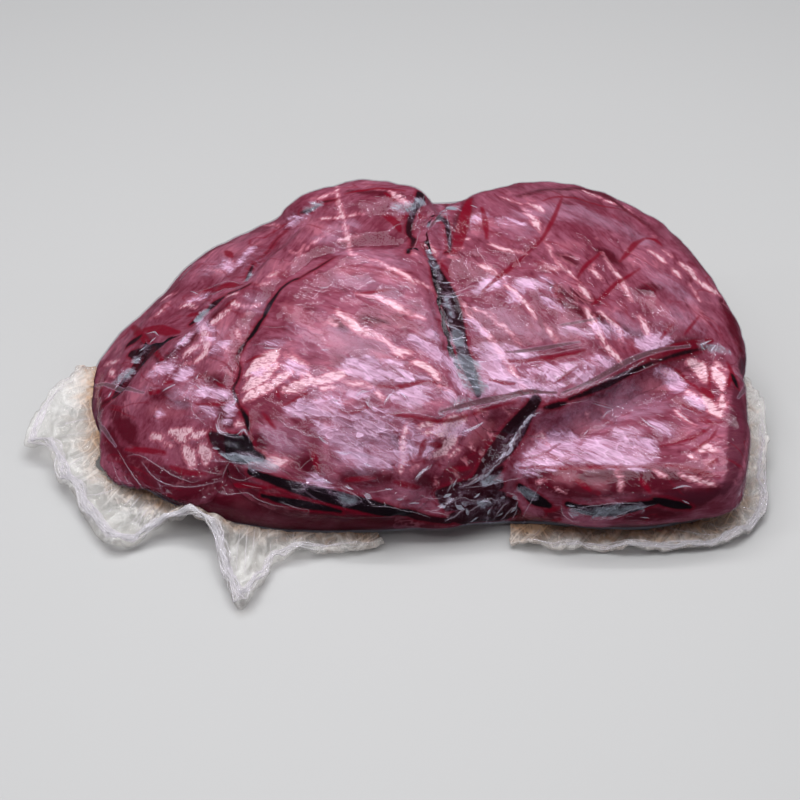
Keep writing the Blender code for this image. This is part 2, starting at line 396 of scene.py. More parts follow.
# %% Reading strokes
FAR = 6.0  # millimetres outside a stroke, past which points all count alike
STROKE_STEP = 3.5 * MM
DOT = 0.01 * MM  # the length of a stroke of one pixel
TINY = 1e-12  # keeps a run of no length from dividing by zero
_spots = {}


def strokes(text):
    """Strokes of "width x,y x,y ...", one a line or parted by |, as (width, pixels)."""
    found = []
    for line in text.replace("|", "\n").splitlines():
        if line.strip():
            width, *pixels = line.split()
            found.append((float(width), [tuple(map(int, p.split(","))) for p in pixels]))
    return found


def spot(pixel):
    """Where the line of sight through a pixel meets the tight surface.

    A pixel that just misses the pack takes the surface's nearest point instead.
    """
    if pixel not in _spots:
        sight = line_of_sight(pixel)
        hit = tight.ray_cast(camera.location, sight)[0]
        if hit is None:
            hit = tight.find_nearest(camera.location + sight * VIEW_DISTANCE)[0]
        _spots[pixel] = np.array(hit)
    return _spots[pixel]


def close_to(points, path, reach):
    """Which points lie in the box round a path, grown by a reach."""
    low, high = path.min(axis=0) - reach, path.max(axis=0) + reach
    return np.flatnonzero(np.all((points > low) & (points < high), axis=1))


def runs(points, path):
    """For each run of a path, how far along it every point lies, and how far off it."""
    for a, b in zip(path, path[1:]):
        ab = b - a
        along = clamp01((points - a) @ ab / max(ab @ ab, TINY))
        yield along, np.linalg.norm(points - a - along[:, None] * ab, axis=1)


def gap_to_path(points, path):
    """Each point's distance to a path, in metres."""
    nearest = np.full(len(points), np.inf)
    for _, gap in runs(points, path):
        nearest = np.minimum(nearest, gap)
    return nearest


def on_the_surface(pixels, step):
    """A smooth path over the tight surface, through the spots seen at some pixels."""
    spots = [Vector(spot(pixel)) for pixel in pixels]
    if len(spots) == 1:
        spots.append(spots[0] + Vector((DOT, 0, 0)))
    return [tight.find_nearest(p)[0] for p in smooth_path(spots, step)]


def inside_strokes(points, found):
    """How far inside the nearest stroke each point lies, in millimetres.

    A stroke narrows towards its ends.
    """
    field = np.full(len(points), -FAR)
    for width, pixels in found:
        path = np.array(on_the_surface(pixels, STROKE_STEP))
        radii = taper(len(path), width / 2, least=0.5)
        near = close_to(points, path, (FAR + width / 2) * MM)
        inside = np.full(len(near), -FAR)
        for (along, gap), radius_a, radius_b in zip(runs(points[near], path), radii, radii[1:]):
            inside = np.maximum(inside, (1 - along) * radius_a + along * radius_b - gap / MM)
        field[near] = np.maximum(field[near], inside)
    return field


MIDDLE_PIXEL = (PHOTO_SIDE // 2, PHOTO_SIDE // 2)
print("the middle pixel meets the pack at", [round(float(c) / MM) for c in spot(MIDDLE_PIXEL)])

# %% [markdown]
# ### Where the fat, the pale muscle and the blood lie
#
# Skirt has long seams of fat across its grain, and thick fat where a fold shows its edge.
# Blood gathers in the folds and clefts. Some strokes of blood and of darker meat are painted
# shade, under the lip of the right steak and along the foot. No rule gives their places, so
# each is a stroke, listed by the steak it lies on or by what it is.

# %% Fat, by the steak it lies on
FAT = {
    "back_left": """
        2.5 229,234 240,229 250,225 | 1.5 262,224 280,226 | 1.2 205,268 215,269 225,272
        2.5 160,300 169,294 176,291 | 2.4 150,318 158,313 163,308 169,301
        3.5 181,306 188,303 195,307 | 2.6 196,297 203,300 | 2.6 107,331 114,330 122,329
        3.0 118,335 | 1.2 101,358 107,352 113,347 | 3.5 104,364 110,362 117,360
        4.0 109,370 113,375 | 2.5 104,382 | 2.0 120,352 | 1.0 222,262 232,260
    """,
    "left_long": """
        4.0 226,296 236,293 | 4.0 232,302 238,305 | 5.0 228,310 220,316 212,322
        5.0 202,325 205,340 206,350 | 4.0 208,345 203,355 195,361 | 4.0 183,357 192,348 203,343
        2.0 185,363 193,362 | 2.5 243,305 250,306 258,304 | 1.5 243,315 250,312
        3.4 269,275 275,273 | 3.0 341,239 349,237 | 1.6 352,237 358,235
        2.5 320,218 335,217 350,215 362,213 | 1.8 290,250 297,253 305,254
        1.0 298,256 301,248 304,243 | 1.0 306,249 316,240 326,233 | 2.5 312,198 322,196 335,192
        5.0 153,436 160,437 | 6.0 170,432 180,433 190,430 | 5.0 190,436 198,434 204,432
        4.5 175,437 186,440 | 7.0 184,448 189,455 192,463 | 7.0 200,446 206,455 205,462
        2.0 163,443 172,446 | 4.0 237,423 243,424 | 2.4 155,410 158,416
        1.4 222,345 228,350 233,350 | 2.0 236,330 241,341 | 1.6 226,370 234,376
    """,
    "centre": """
        9.0 246,374 260,363 276,353 | 9.0 244,388 258,378 274,366 | 6.0 243,400 254,393 268,384
        5.0 262,392 275,382 290,372 | 7.0 284,389 300,385 314,380 | 6.0 312,384 325,379 347,372
        3.5 322,388 332,386
        2.5 285,353 297,360 308,366 | 3.0 300,372 310,376
        2.4 366,258 378,261 390,267 402,272 413,280 425,284 434,289
        3.2 357,293 370,296 381,298 392,303 402,309 412,315 424,318
        4.5 337,310 343,316 352,323 362,331 375,335 388,342 | 4.0 352,323 356,328
        3.4 388,342 396,350 403,357 | 3.5 401,350 410,353 | 4.2 412,362 424,365 434,372 438,378
        2.6 329,320 335,324 | 2.4 340,380 352,384 362,383 373,388 | 2.0 377,392 383,398
        3.0 407,425 403,440 404,458 400,472 | 1.5 412,470 418,465
        9.0 436,432 452,427 464,419 | 7.0 450,438 445,452 | 4.2 420,427 428,424 436,426
        3.0 426,433 436,431 | 3.6 445,420 457,418 462,425
        4.6 446,432 455,435 450,445 | 4.0 430,456 440,453 448,447 | 3.6 452,455 458,450
        4.5 262,455 270,460 280,462 290,460 | 2.4 440,385 452,392 459,400 | 1.8 458,404
    """,
    "right": """
        2.6 502,197 512,200 522,203 | 4.6 530,203 538,207 543,212 | 4.2 530,213 536,222 539,230
        2.6 524,207 530,216 | 3.0 490,243 500,247 512,250 526,253 | 1.8 462,239 468,238
        2.0 545,239 550,248 553,256 | 3.8 543,262 550,268 556,268
        3.0 556,258 562,266 570,272 577,278 | 4.5 580,283 586,292 590,298
        5.0 586,308 592,320 598,330 605,343 | 4.0 605,343 614,354 622,361
        3.0 600,310 612,322 621,332 621,343 | 4.0 480,264 490,268 496,273
        3.2 502,276 508,285 520,297 530,308 536,317 | 2.4 545,325 549,330 556,340
        2.4 464,303 470,315 480,327 492,340 500,352 508,362 514,372 520,380 524,389
        2.0 474,308 485,312 500,323 512,333 520,342 | 1.8 449,255 456,257 | 2.2 429,245 436,255
        2.6 603,253 608,262 614,270 622,278 627,290 631,300 | 2.6 590,268 598,275 602,279
        1.8 594,263 590,270 | 3.6 640,315 645,325 648,335 | 3.6 584,190 592,194 600,197
        2.4 605,200 615,203 | 3.8 650,250 658,255 665,262 | 1.8 664,250 672,256
        4.6 680,262 690,270 697,280 | 3.6 673,268 680,276 | 4.2 700,282 710,288 720,294
        1.6 690,283 700,300 | 1.4 625,206 633,212 | 1.4 597,238 | 1.8 655,236
    """,
    "front_right": """
        3.0 662,371 672,373 680,374 | 7.0 690,362 700,368 705,380 | 6.5 714,368 720,378 722,388
        3.0 716,362 728,370 | 7.5 705,395 712,408 720,414 | 5.0 722,395 722,410
        3.6 686,390 694,396 700,403 | 3.2 676,410 686,418 696,424 | 5.5 700,450 708,446 714,450
        3.6 706,462 714,460 | 3.8 680,473 692,478 704,482 715,484 | 2.2 655,470 665,476
        2.6 686,454 696,458 | 2.2 588,414 | 3.0 534,437 544,437 549,446
        1.6 536,483 545,480 | 2.4 617,470 622,478 620,492 | 1.6 556,488 566,492
    """,
    "front_middle": """
        2.6 478,410 486,413 | 1.8 505,408 514,418 | 1.6 436,478 437,486 | 1.4 455,470 458,476
        1.6 470,445 474,450 | 1.4 487,430 491,434 | 1.4 463,458 466,463 | 1.2 480,452 483,455
    """,
    "top_back": """
        2.4 336,185 345,180 350,180 | 3.6 390,190 400,198 408,202 | 1.8 372,188 385,189
        2.0 422,189 431,191 | 2.0 448,187 462,189
    """,
}
all_fat = [stroke for text in FAT.values() for stroke in strokes(text)]
print("fat:", len(all_fat), "strokes")

# %% Pale muscle and blood
# Pink rather than white: thin fat and pale muscle that show through.
PALE = """
    8 285,305 300,315 310,325 | 6 205,290 190,300 | 5 225,250 240,252 | 6 215,272 235,265
    7 300,222 320,228 340,226 | 5 270,262 285,270 | 7 222,325 228,340 | 6 210,372 225,360
    8 150,410 180,412 | 7 262,455 290,462 | 7 375,275 400,280 | 6 340,268 360,275
    8 320,335 345,345 | 6 370,352 395,360 | 8 465,215 500,222 | 6 560,245 580,245
    8 650,300 665,312 | 6 690,300 705,320 | 6 575,425 600,425 | 7 645,385 670,388
    8 470,440 490,425 | 6 555,480 575,475 | 5 590,480 605,490 | 6 250,500 235,508
"""
# Clear dark red: blood held against the film in tight folds. The strokes under the lip of the
# right steak are partly painted shade.
RED = """
    2.2 563,195 557,210 550,225 541,240 527,253 | 2.6 527,253 510,268 495,280 482,292
    3.0 482,207 485,220 487,238 | 1.8 543,200 552,197 562,196 575,197 590,202 605,206 625,210
    2.8 645,238 636,243 628,252 620,261 | 2.2 645,238 655,239 662,245
    2.2 640,268 628,276 615,284 603,296 592,304 | 2.2 601,252 590,261 582,270 578,277
    2.6 510,361 525,361 545,358 565,355 585,350 | 2.4 490,380 505,383 515,384
    1.4 555,383 565,376 577,367 | 1.6 700,315 692,325 684,335 | 1.6 676,320 665,333 660,340
    2.0 385,414 410,416 437,421 460,418 490,408 515,402
    2.4 550,405 570,398 590,390 610,382 | 4.6 640,362 655,354 680,347 700,342 712,340
    3.0 700,420 712,422 722,421 | 2.4 719,421 705,430 690,438 678,441 660,446
    2.0 719,424 712,436 700,445 688,452 | 1.8 719,418 700,412 680,402 665,397
    1.6 708,360 709,375 710,395 | 5.0 703,388 712,396 | 2.2 668,365 680,372 695,385 705,395
    3.0 728,362 733,372 728,385 | 2.4 665,465 680,466 695,470 710,474 720,477
    2.4 705,468 718,458
    3.6 150,392 158,391 | 2.8 166,382 172,381 | 2.8 196,375 205,377 | 2.0 217,382 225,388
    2.4 195,404 215,404 232,401 | 3.0 125,449 145,450 165,452 | 3.0 170,466 185,472 205,474
    2.6 345,193 358,190 372,188 390,188 405,190
    2.4 385,192 392,198 397,202 | 6.0 446,197 455,200 470,198 | 5.0 385,215 396,222 400,230
    3.5 400,218 415,215 425,217 | 1.8 262,238 272,231 283,225 295,218 | 4.0 225,250 232,256
    1.6 188,256 198,249 208,243 | 5.0 204,289 218,287 232,284 242,284 | 3.0 186,315 200,311
    6.0 143,329 155,328 170,331 178,331 | 4.0 124,322 133,326 134,334 | 3.0 98,396 101,386
    1.4 281,406 292,401 304,394 315,389 | 1.6 340,411 352,413 368,407 | 1.6 275,385 279,398
    2.4 378,386 400,387 425,381 435,381 | 2.0 262,412 268,420 275,428 | 3.0 313,452 318,470
    3.0 430,444 442,446 | 5.0 230,446 243,443 | 2.4 222,486 245,485 270,488
    1.2 520,459 535,457 548,452 560,444 | 2.0 520,468 560,468 600,467 650,467 | 3.0 545,512 560,508
    3.0 575,478 590,490 | 3.0 640,478 650,492 | 3.0 445,470 470,468 | 3.0 420,455 425,440
    2.0 357,292 372,292 390,289 | 1.4 560,325 590,320 | 2.0 440,262 452,275 | 2.6 345,480 375,478
    2.0 240,362 252,358 265,355 | 3.0 395,482 420,488 | 4.0 560,520 540,522
"""
# Nearly black: deep blood in the clefts and pockets. The strokes under the lip of the right
# steak and under the front of the front-right steak are partly painted shadow.
BLOOD = """
    3.0 424,244 430,256 437,270 444,284 | 9.0 432,262 440,282 449,302 456,325 461,345 466,362
    6.5 452,315 459,340 466,362 474,382 478,394
    1.4 335,256 322,264 308,272 298,278 | 3.0 298,278 287,283 277,293
    4.2 277,293 270,303 264,316 | 3.2 264,316 256,328 247,340 | 1.8 247,340 240,350 236,358
    1.4 236,358 240,368 238,378 233,388 236,398 240,408 | 2.6 240,408 246,418 248,430
    2.0 250,283 238,289 226,293 | 4.6 222,297 214,303 207,309 | 4.0 203,312 197,317 190,323
    2.8 253,262 249,272 246,280 | 1.0 258,258 268,250 276,238 285,230
    4.0 126,345 133,340 140,335 | 8.0 130,353 140,353 150,350 | 5.0 134,366 142,362
    7.5 114,396 120,389 127,378 134,370 | 4.0 102,402 108,400
    14.0 219,440 232,447 246,456 | 7.0 211,434 218,441 224,450
    6.5 225,455 240,456 252,455 262,458 | 4.0 243,435 249,445 252,455
    7.0 250,472 275,481 305,490 340,499 375,508 415,516 450,522 | 4.0 262,496 300,504 340,512
    11.0 536,400 527,414 516,430 504,446 490,462 476,482 | 11.0 448,506 480,500 512,504
    5.0 502,468 490,477 476,485 | 10.0 440,494 470,490 500,486
    14.0 445,500 470,500 500,498 | 12.0 455,518 490,518 515,512
    8.0 520,488 535,500 548,506 | 7.0 568,505 590,511 620,510 655,503 | 5.0 655,500 672,505 690,508
    3.6 412,185 420,192 424,200 418,207 408,210 | 2.6 432,200 440,197 446,203 | 3.0 446,208 454,208
    2.4 300,212 310,210 318,205 | 1.2 320,202 335,199 | 3.6 733,374 738,386
    3.0 566,403 545,408 | 3.6 570,399 600,388 620,378 634,371 652,363 | 2.0 652,363 680,354 706,348
"""
# Burgundy meat: wide soft strokes where the muscle is darker and redder than elsewhere. Some is
# the meat's own tone, and some is painted shade along the foot and under the lip of the right steak.
DEEP_TONE_AND_SHADE = """
    10 112,405 122,425 135,445 | 8 160,392 185,405 | 10 215,470 245,478 | 8 225,400 228,425
    9 550,284 572,294 596,300 | 8 600,250 620,262 | 16 118,452 140,470 175,488 215,486
    10 108,430 112,450 | 12 215,500 270,505 330,514 400,520
    10 250,440 262,445 | 8 300,462 316,466 | 9 345,478 390,478 | 14 420,480 450,485 470,470 478,445
    8 395,440 410,450 | 10 530,482 580,490 640,490 | 12 660,485 690,500 715,490
    10 640,362 680,350 706,346 | 8 590,395 620,385 | 8 540,520 560,512 | 10 600,512 680,515
    16 240,486 290,500 340,510 400,518 450,526 | 13 528,474 580,480 640,480 705,476
    12 492,422 482,446 466,466 448,480 | 8 560,300 600,320 640,335
    6 118,322 135,330 | 6 350,190 400,195 | 8 440,200 470,198 | 5 520,195 580,188 620,205 660,235
    8 722,300 735,330 742,350 | 6 200,245 180,262 160,280 140,300 115,320 | 7 560,255 575,262
    3 332,320 345,330 | 3 362,318 388,322 | 5 150,392 160,398 | 6 205,375 222,382 | 7 640,290 660,285
"""
# Painted shade: maroon on the meat that turns away from the lamps at the right end.
SHADE = """
    11 737,385 740,410 738,440 734,470 724,492 | 8 742,372 746,360 | 9 640,500 690,500 718,494
"""
STEAK_STROKES = {"pale": PALE, "red": RED, "blood": BLOOD, "shade": SHADE, "deep": DEEP_TONE_AND_SHADE}
print({kept: len(strokes(text)) for kept, text in STEAK_STROKES.items()})

# %% [markdown]
# ### Where the film itself shows
#
# Clear film is seen where it lies double, and where it mirrors the lamps: there a painted
# sheen stands in for the reflection, where the film stands off the meat and where it spans a
# cleft. Those places are strokes too.

# %% Film that shows: milky, over clefts, folded
# Painted sheen: a lilac reflection of the lamps, where the film stands off the meat.
PAINTED_LILAC_SHEEN = """
    11 338,420 362,417 388,420 | 7 590,330 612,328
    14 372,432 405,438 425,446 | 12 335,440 365,452 400,456 | 12 470,372 500,380 530,382
    12 480,352 500,356 530,360 | 12 590,444 620,452 650,450 | 10 545,450 570,446
    12 345,432 370,430 392,428 | 10 318,428 345,440 375,442 | 8 300,412 325,408 345,412
    6 285,415 300,405 | 5 330,395 340,403 | 6 352,396 368,392 | 6 395,398 415,392 430,390
    6 405,402 425,400 | 4 345,365 370,362 400,365 | 4 365,378 395,375 425,380 | 5 350,372 380,370
    9 415,340 430,350 445,362 455,375 462,388 | 6 425,332 435,340 | 7 440,395 455,400
    3 262,345 290,343 | 4 255,375 268,368 | 5 290,365 305,372 | 10 480,365 500,372 515,376
    8 530,372 555,372 575,366 | 6 500,392 530,388 560,386 | 5 475,392 490,392 | 8 590,365 610,362
    6 575,380 590,374 | 5 560,330 590,334 | 8 640,345 665,340 | 5 610,330 625,335
    6 478,290 490,283 500,280 | 6 520,285 540,283 548,290 | 4 510,300 520,292
    5 470,325 485,332 | 4 545,300 560,308 | 10 595,440 620,448 650,444 | 9 600,458 630,460 655,458
    7 560,455 590,458 | 7 550,440 575,442 | 9 530,458 545,448 552,438 | 6 520,468 545,464 560,461
    9 464,358 470,374 479,390 | 5 618,432 640,432 | 6 655,425 668,432
    8 660,372 672,380 680,388 | 5 690,398 700,405
    4 193,300 205,297 | 4 222,263 232,270 | 4 240,262 250,250 | 3 180,345 190,335
    5 200,322 215,335 | 4 212,350 225,345 | 4 150,374 170,368 | 4 178,378 190,372 | 4 200,392 225,395
    5 232,405 228,418 | 4 205,408 215,415 | 3 160,412 158,418 | 4 290,222 305,215
    4 470,222 485,215 | 5 440,430 460,430 | 4 500,220 520,224 | 5 312,481 332,484
"""
# Painted sheen: a weak reflection of the lamps over wide stretches.
SHEEN = """
    16 520,215 560,212 600,220 640,240 | 12 340,250 375,256 405,265 | 12 650,270 690,300
    22 575,415 620,405 660,405 | 16 330,335 370,345 400,345 | 14 290,335 320,350 | 12 270,430 300,445
    14 340,462 380,458 | 14 480,310 510,325 545,335 | 10 200,345 220,335 | 12 170,400 200,395
    10 420,300 432,330 | 12 660,310 700,325 | 10 620,320 650,335 | 14 340,280 380,290 410,300
    12 500,225 530,235 | 12 350,225 320,240 | 16 300,375 340,390 400,385 | 14 480,375 540,375 600,370
    12 540,440 600,450 | 10 250,300 265,310 | 10 205,265 225,270
"""
# Painted reflection: a grey-blue sheen where the film spans a cleft or a pool of blood.
OVER_CLEFTS = """
    1 428,252 436,266 441,280 | 0.5 446,300 452,318 | 6 455,330 460,345 | 10 462,354 468,370 478,388
    5 430,225 445,215 | 3 395,206 410,208 422,202 | 3 445,210 458,206 | 3 440,410 455,406 470,402
    4 136,360 142,355 | 4 112,385 122,378 132,372 | 3 250,275 246,282 | 4 210,308 200,318
    1.5 450,500 470,505 500,500
    3 480,525 505,520 | 6 575,512 600,512 640,508 | 4 500,478 485,482 | 3 300,212 320,205
    4 340,498 355,500 | 3 700,345 725,352 | 3 222,455 250,462 275,468 | 4 520,490 535,495
"""
# Grey-brown bands, where the film lies double at the edge of a fold.
DOUBLED = """
    3.4 440,412 470,404 500,398 530,392 556,393 | 3.0 562,393 590,382 612,370 635,358 660,350 690,346
    2.5 505,352 530,350 555,346 580,342 | 2.0 560,325 580,322 600,318 | 2.5 735,372 745,385 738,398
    2.0 195,262 180,280 | 3.0 440,215 430,228 | 3.0 95,360 92,385 | 2.5 96,412 92,430
"""
FILM_STROKES = {"lilac_sheen": PAINTED_LILAC_SHEEN, "sheen": SHEEN, "over_clefts": OVER_CLEFTS, "doubled": DOUBLED}
print({kept: len(strokes(text)) for kept, text in FILM_STROKES.items()})

# %% [markdown]
# ## Pleats
#
# Where the film has slack it pinches into thin standing pleats, which catch the light as
# fine bright lines. The larger ones are drawn one by one, with their thickness in tenths
# of a millimetre, and the smallest are scattered in fans.

# %% Pleats by pixel
PLEATS = """
    5 128,457 135,455 145,458 160,467 175,476 192,482 200,480
    5 142,462 152,475 167,484 185,487 200,486 212,483 222,480
    4 203,470 212,473 222,474 | 5 205,462 220,461 235,462 248,464 262,466 272,469
    4 222,478 226,468 230,462 | 4 228,476 240,480 256,476 | 4 236,464 240,472
    3 278,468 286,472 291,476 | 4 118,450 125,462 133,475 142,487 155,495
    3 112,460 116,472 120,480 130,490 | 3 138,480 141,490 144,498 | 3 125,475 130,485
    4 216,489 222,494 235,494 248,493 260,500 275,505 290,507 | 3 242,484 250,486 262,488
    4 280,501 292,506 303,509 | 3 303,509 309,510 305,515 | 4 195,293 205,290 220,284 232,282 246,284
    4 200,295 213,295 225,290 240,287 247,284 | 4 232,392 236,400 230,408 222,411
    6 222,412 218,422 220,430 228,436 240,438 | 4 240,438 245,430 249,437 250,443
    5 216,425 222,434 235,435 | 4 197,380 205,385 210,391 222,392 232,391 | 3 212,378 222,384
    4 192,403 193,412 198,418 205,424 | 4 270,412 280,420 288,427 300,431 312,436 325,438 335,440
    3 283,426 297,427 | 3 320,421 315,430 | 6 330,395 336,403 343,410 350,413
    4 345,413 360,411 370,414 | 6 368,399 371,408 375,412 | 4 385,405 391,396 394,390
    4 400,392 406,398 412,400 | 4 352,398 360,390 372,388 | 4 350,355 356,361 | 4 358,352 363,358
    4 367,350 370,356 | 5 380,418 395,414 410,413 425,415 437,418
    8 437,418 450,413 465,410 480,407 500,402 520,397 538,395 | 6 538,395 552,396 562,398
    8 562,398 575,393 590,386 605,380 620,375 633,367 645,360 | 4 620,375 635,372 650,366 658,363
    4 500,360 520,357 545,355 565,351 580,348 590,347 | 4 555,382 565,375 578,366
    4 550,388 563,387 575,380 583,374 | 5 510,392 530,389 548,387 | 4 485,383 497,384 504,390
    4 436,281 447,283 455,284 | 6 440,293 450,295 462,291 472,286 | 4 442,305 448,306 456,308
    5 443,321 455,326 470,330 478,333 | 4 447,340 455,343 | 5 455,350 463,355 475,356
    5 458,365 468,373 480,377 | 4 462,378 472,385 | 6 468,512 478,505 488,499 495,499 501,505
    6 480,528 487,517 492,506 | 6 493,518 500,508 508,502 | 6 500,520 508,512 516,505 519,500
    4 470,500 478,500 | 7 505,492 515,495 520,500 | 5 512,518 518,508
    6 478,530 490,527 505,524 512,526 | 6 430,512 440,508 450,502 462,495
    6 445,520 455,515 465,508 | 5 420,495 430,498 440,498 | 5 447,492 451,485 453,480
    4 400,497 407,495 | 4 423,510 440,513 450,516 | 6 362,493 368,500 373,505
    4 368,492 385,490 393,488 | 11 540,411 530,417 523,425 517,437 508,450 498,462 485,473
    8 485,473 470,483 460,487 | 4 461,488 480,486 500,482 520,478 535,474
    4 540,466 560,464 580,464 600,463 620,462 650,463 680,463 | 4 543,482 535,495 528,508 522,518
    3 590,400 605,404 616,408 | 3 612,410 604,415 601,420 | 4 638,416 648,424 660,432
    3 583,436 590,429 600,428 | 4 525,457 540,455 550,450 560,443 | 4 562,453 575,454 590,454 600,458
    3 670,421 680,428 | 6 562,505 563,513 570,519 580,521 | 4 572,508 580,507 600,504 640,503
    4 590,519 610,517 640,507 655,504 | 5 468,432 478,425 484,423 | 8 416,480 423,472 431,465
    4 298,488 310,480 320,475 | 3 300,470 306,463 314,458 | 4 302,434 312,437
    5 340,488 352,493 362,499 | 4 372,506 390,507 410,511 430,517 | 3 700,417 690,411 672,404
    3 160,365 175,352 186,342 | 3 141,382 155,372 168,362 | 3 190,390 200,380 206,372
    3 262,327 275,328 290,327 | 3 252,346 270,345 285,347 | 3 660,345 668,336 678,328
    4 712,362 716,350 718,342 | 3 724,348 718,343 | 3 560,405 590,399 | 3 404,206 414,213 424,208
    4 418,187 424,196 426,204 | 4 436,199 445,197 450,204 | 4 388,232 396,226 404,224
"""
# Folds that lie flat on the pack and mirror a lamp, with their width in tenths.
FLAT_FOLDS = """
    22 518,432 512,444 504,455 496,463 | 16 540,411 530,417 523,425 518,432
    14 496,463 488,472 480,478 470,484 | 28 364,494 372,498 | 14 396,499 404,498
    10 408,503 420,502 | 18 438,507 446,506 | 24 455,505 464,509 | 16 466,508 468,515
    14 470,522 478,516 | 20 512,496 519,499 | 14 500,497 505,497 | 12 487,513 490,508
    14 497,516 503,512 | 14 510,512 517,506 | 20 484,522 496,523 | 12 500,528 512,527
    12 462,527 468,522 | 14 521,527 525,520 | 12 478,503 486,500 492,503 | 10 474,498 480,493
    16 443,497 452,494 | 14 415,480 422,472 429,466 | 8 452,488 457,478
    16 462,432 472,429 484,422 | 14 318,436 324,441 329,445 | 12 334,451 345,454 352,452
    10 363,463 372,467 | 14 312,481 322,480 333,484 | 12 344,486 354,490 | 8 385,489 393,489
    18 355,397 362,392 370,392 | 12 366,400 370,408 | 8 330,395 336,402 343,410
    10 384,406 388,398 392,394 | 10 400,393 407,399 | 12 450,340 458,339 466,335
    10 443,322 452,327 462,331 | 8 446,346 455,349 | 10 440,296 448,297 | 8 441,283 456,284
    8 467,378 478,381 | 8 470,386 482,388 | 10 476,362 486,362 | 12 140,352 148,346
    10 134,362 142,357 | 10 115,390 120,383 | 10 108,398 112,392 | 8 124,378 128,372
    12 212,448 220,449 | 8 228,455 236,454 | 14 216,424 220,432 228,434
    14 236,436 244,430 248,436 | 10 231,396 236,402 229,408 | 12 162,392 168,388 176,384
    8 196,385 204,391 | 8 196,380 199,374 | 14 180,346 184,338 187,334 | 8 100,362 108,354
    10 150,344 156,337 | 12 146,334 154,332 159,336 | 6 190,291 200,295
    12 445,296 455,297 465,293 | 10 568,512 574,518 | 10 566,505 576,506 | 6 605,519 625,515
    10 672,489 684,486 692,487 | 8 682,500 690,504 | 8 640,517 650,518 | 10 700,345 712,340
    8 710,352 716,345 | 8 590,402 606,407 616,409 | 6 602,420 606,413 612,410
    6 583,436 588,430 | 8 640,418 650,426 660,432 | 8 675,410 685,418 693,424
    8 404,285 410,289 | 10 318,288 330,288 | 8 262,348 280,349 | 8 320,350 330,350
    8 548,292 552,286 | 8 470,205 478,208
"""
# Fans of small pleats: a middle pixel and a pixel along the pull, with the fan's reach in
# millimetres and how many pleats it holds.
FANS = """
    26 340,425 392,432 70 | 20 300,405 335,395 40 | 22 270,378 300,370 45 | 18 330,390 350,410 30
    18 395,400 410,385 26 | 16 430,395 455,400 20 | 20 400,345 430,362 22 | 18 350,440 385,436 26
    16 400,497 430,497 26 | 22 480,510 496,498 50 | 16 445,505 462,498 26 | 20 515,375 545,372 22
    18 500,300 520,290 18 | 16 550,300 560,285 22 | 16 590,365 610,358 14 | 18 660,335 672,322 16
    14 690,440 712,428 14 | 16 690,410 715,420 14 | 22 610,440 650,446 18 | 16 560,455 590,455 14
    20 180,395 205,384 30 | 16 215,365 225,350 16 | 18 165,370 180,350 18 | 18 190,415 215,405 20
    16 225,405 232,395 20 | 14 118,385 122,372 22 | 14 105,350 112,340 12 | 14 140,355 146,345 12
    14 200,450 205,430 14 | 16 150,480 165,490 16 | 12 120,480 124,492 12 | 14 235,462 255,465 14
    16 300,485 335,492 14 | 14 365,495 372,485 16 | 10 447,290 458,288 8 | 10 455,325 470,329 8
    10 465,355 478,357 8 | 10 470,378 480,381 8 | 14 410,215 425,210 14 | 14 440,205 452,200 12
    16 580,510 620,505 12 | 14 545,430 552,418 8 | 14 505,455 515,440 8 | 14 310,325 318,315 14
    14 290,330 305,325 12 | 12 432,332 445,338 8 | 14 250,270 262,255 10 | 14 205,300 215,295 10
"""
print(len(strokes(PLEATS)), "pleats,", len(strokes(FLAT_FOLDS)), "flat folds,",
      len(strokes(FANS)), "fans")

# %% [markdown]
# ## The steaks
#
# Each steak is a flat slab with a rounded edge, laid over the pile as the solid's are:
# the outline is a closed curve seen from above, and the slab's upper face follows the
# pile's crown. Where a steak comes within a few millimetres of the tight surface it is
# drawn up to just below it, as the vacuum does, and where its edge rolls away from the
# film a cleft is left for the blood.

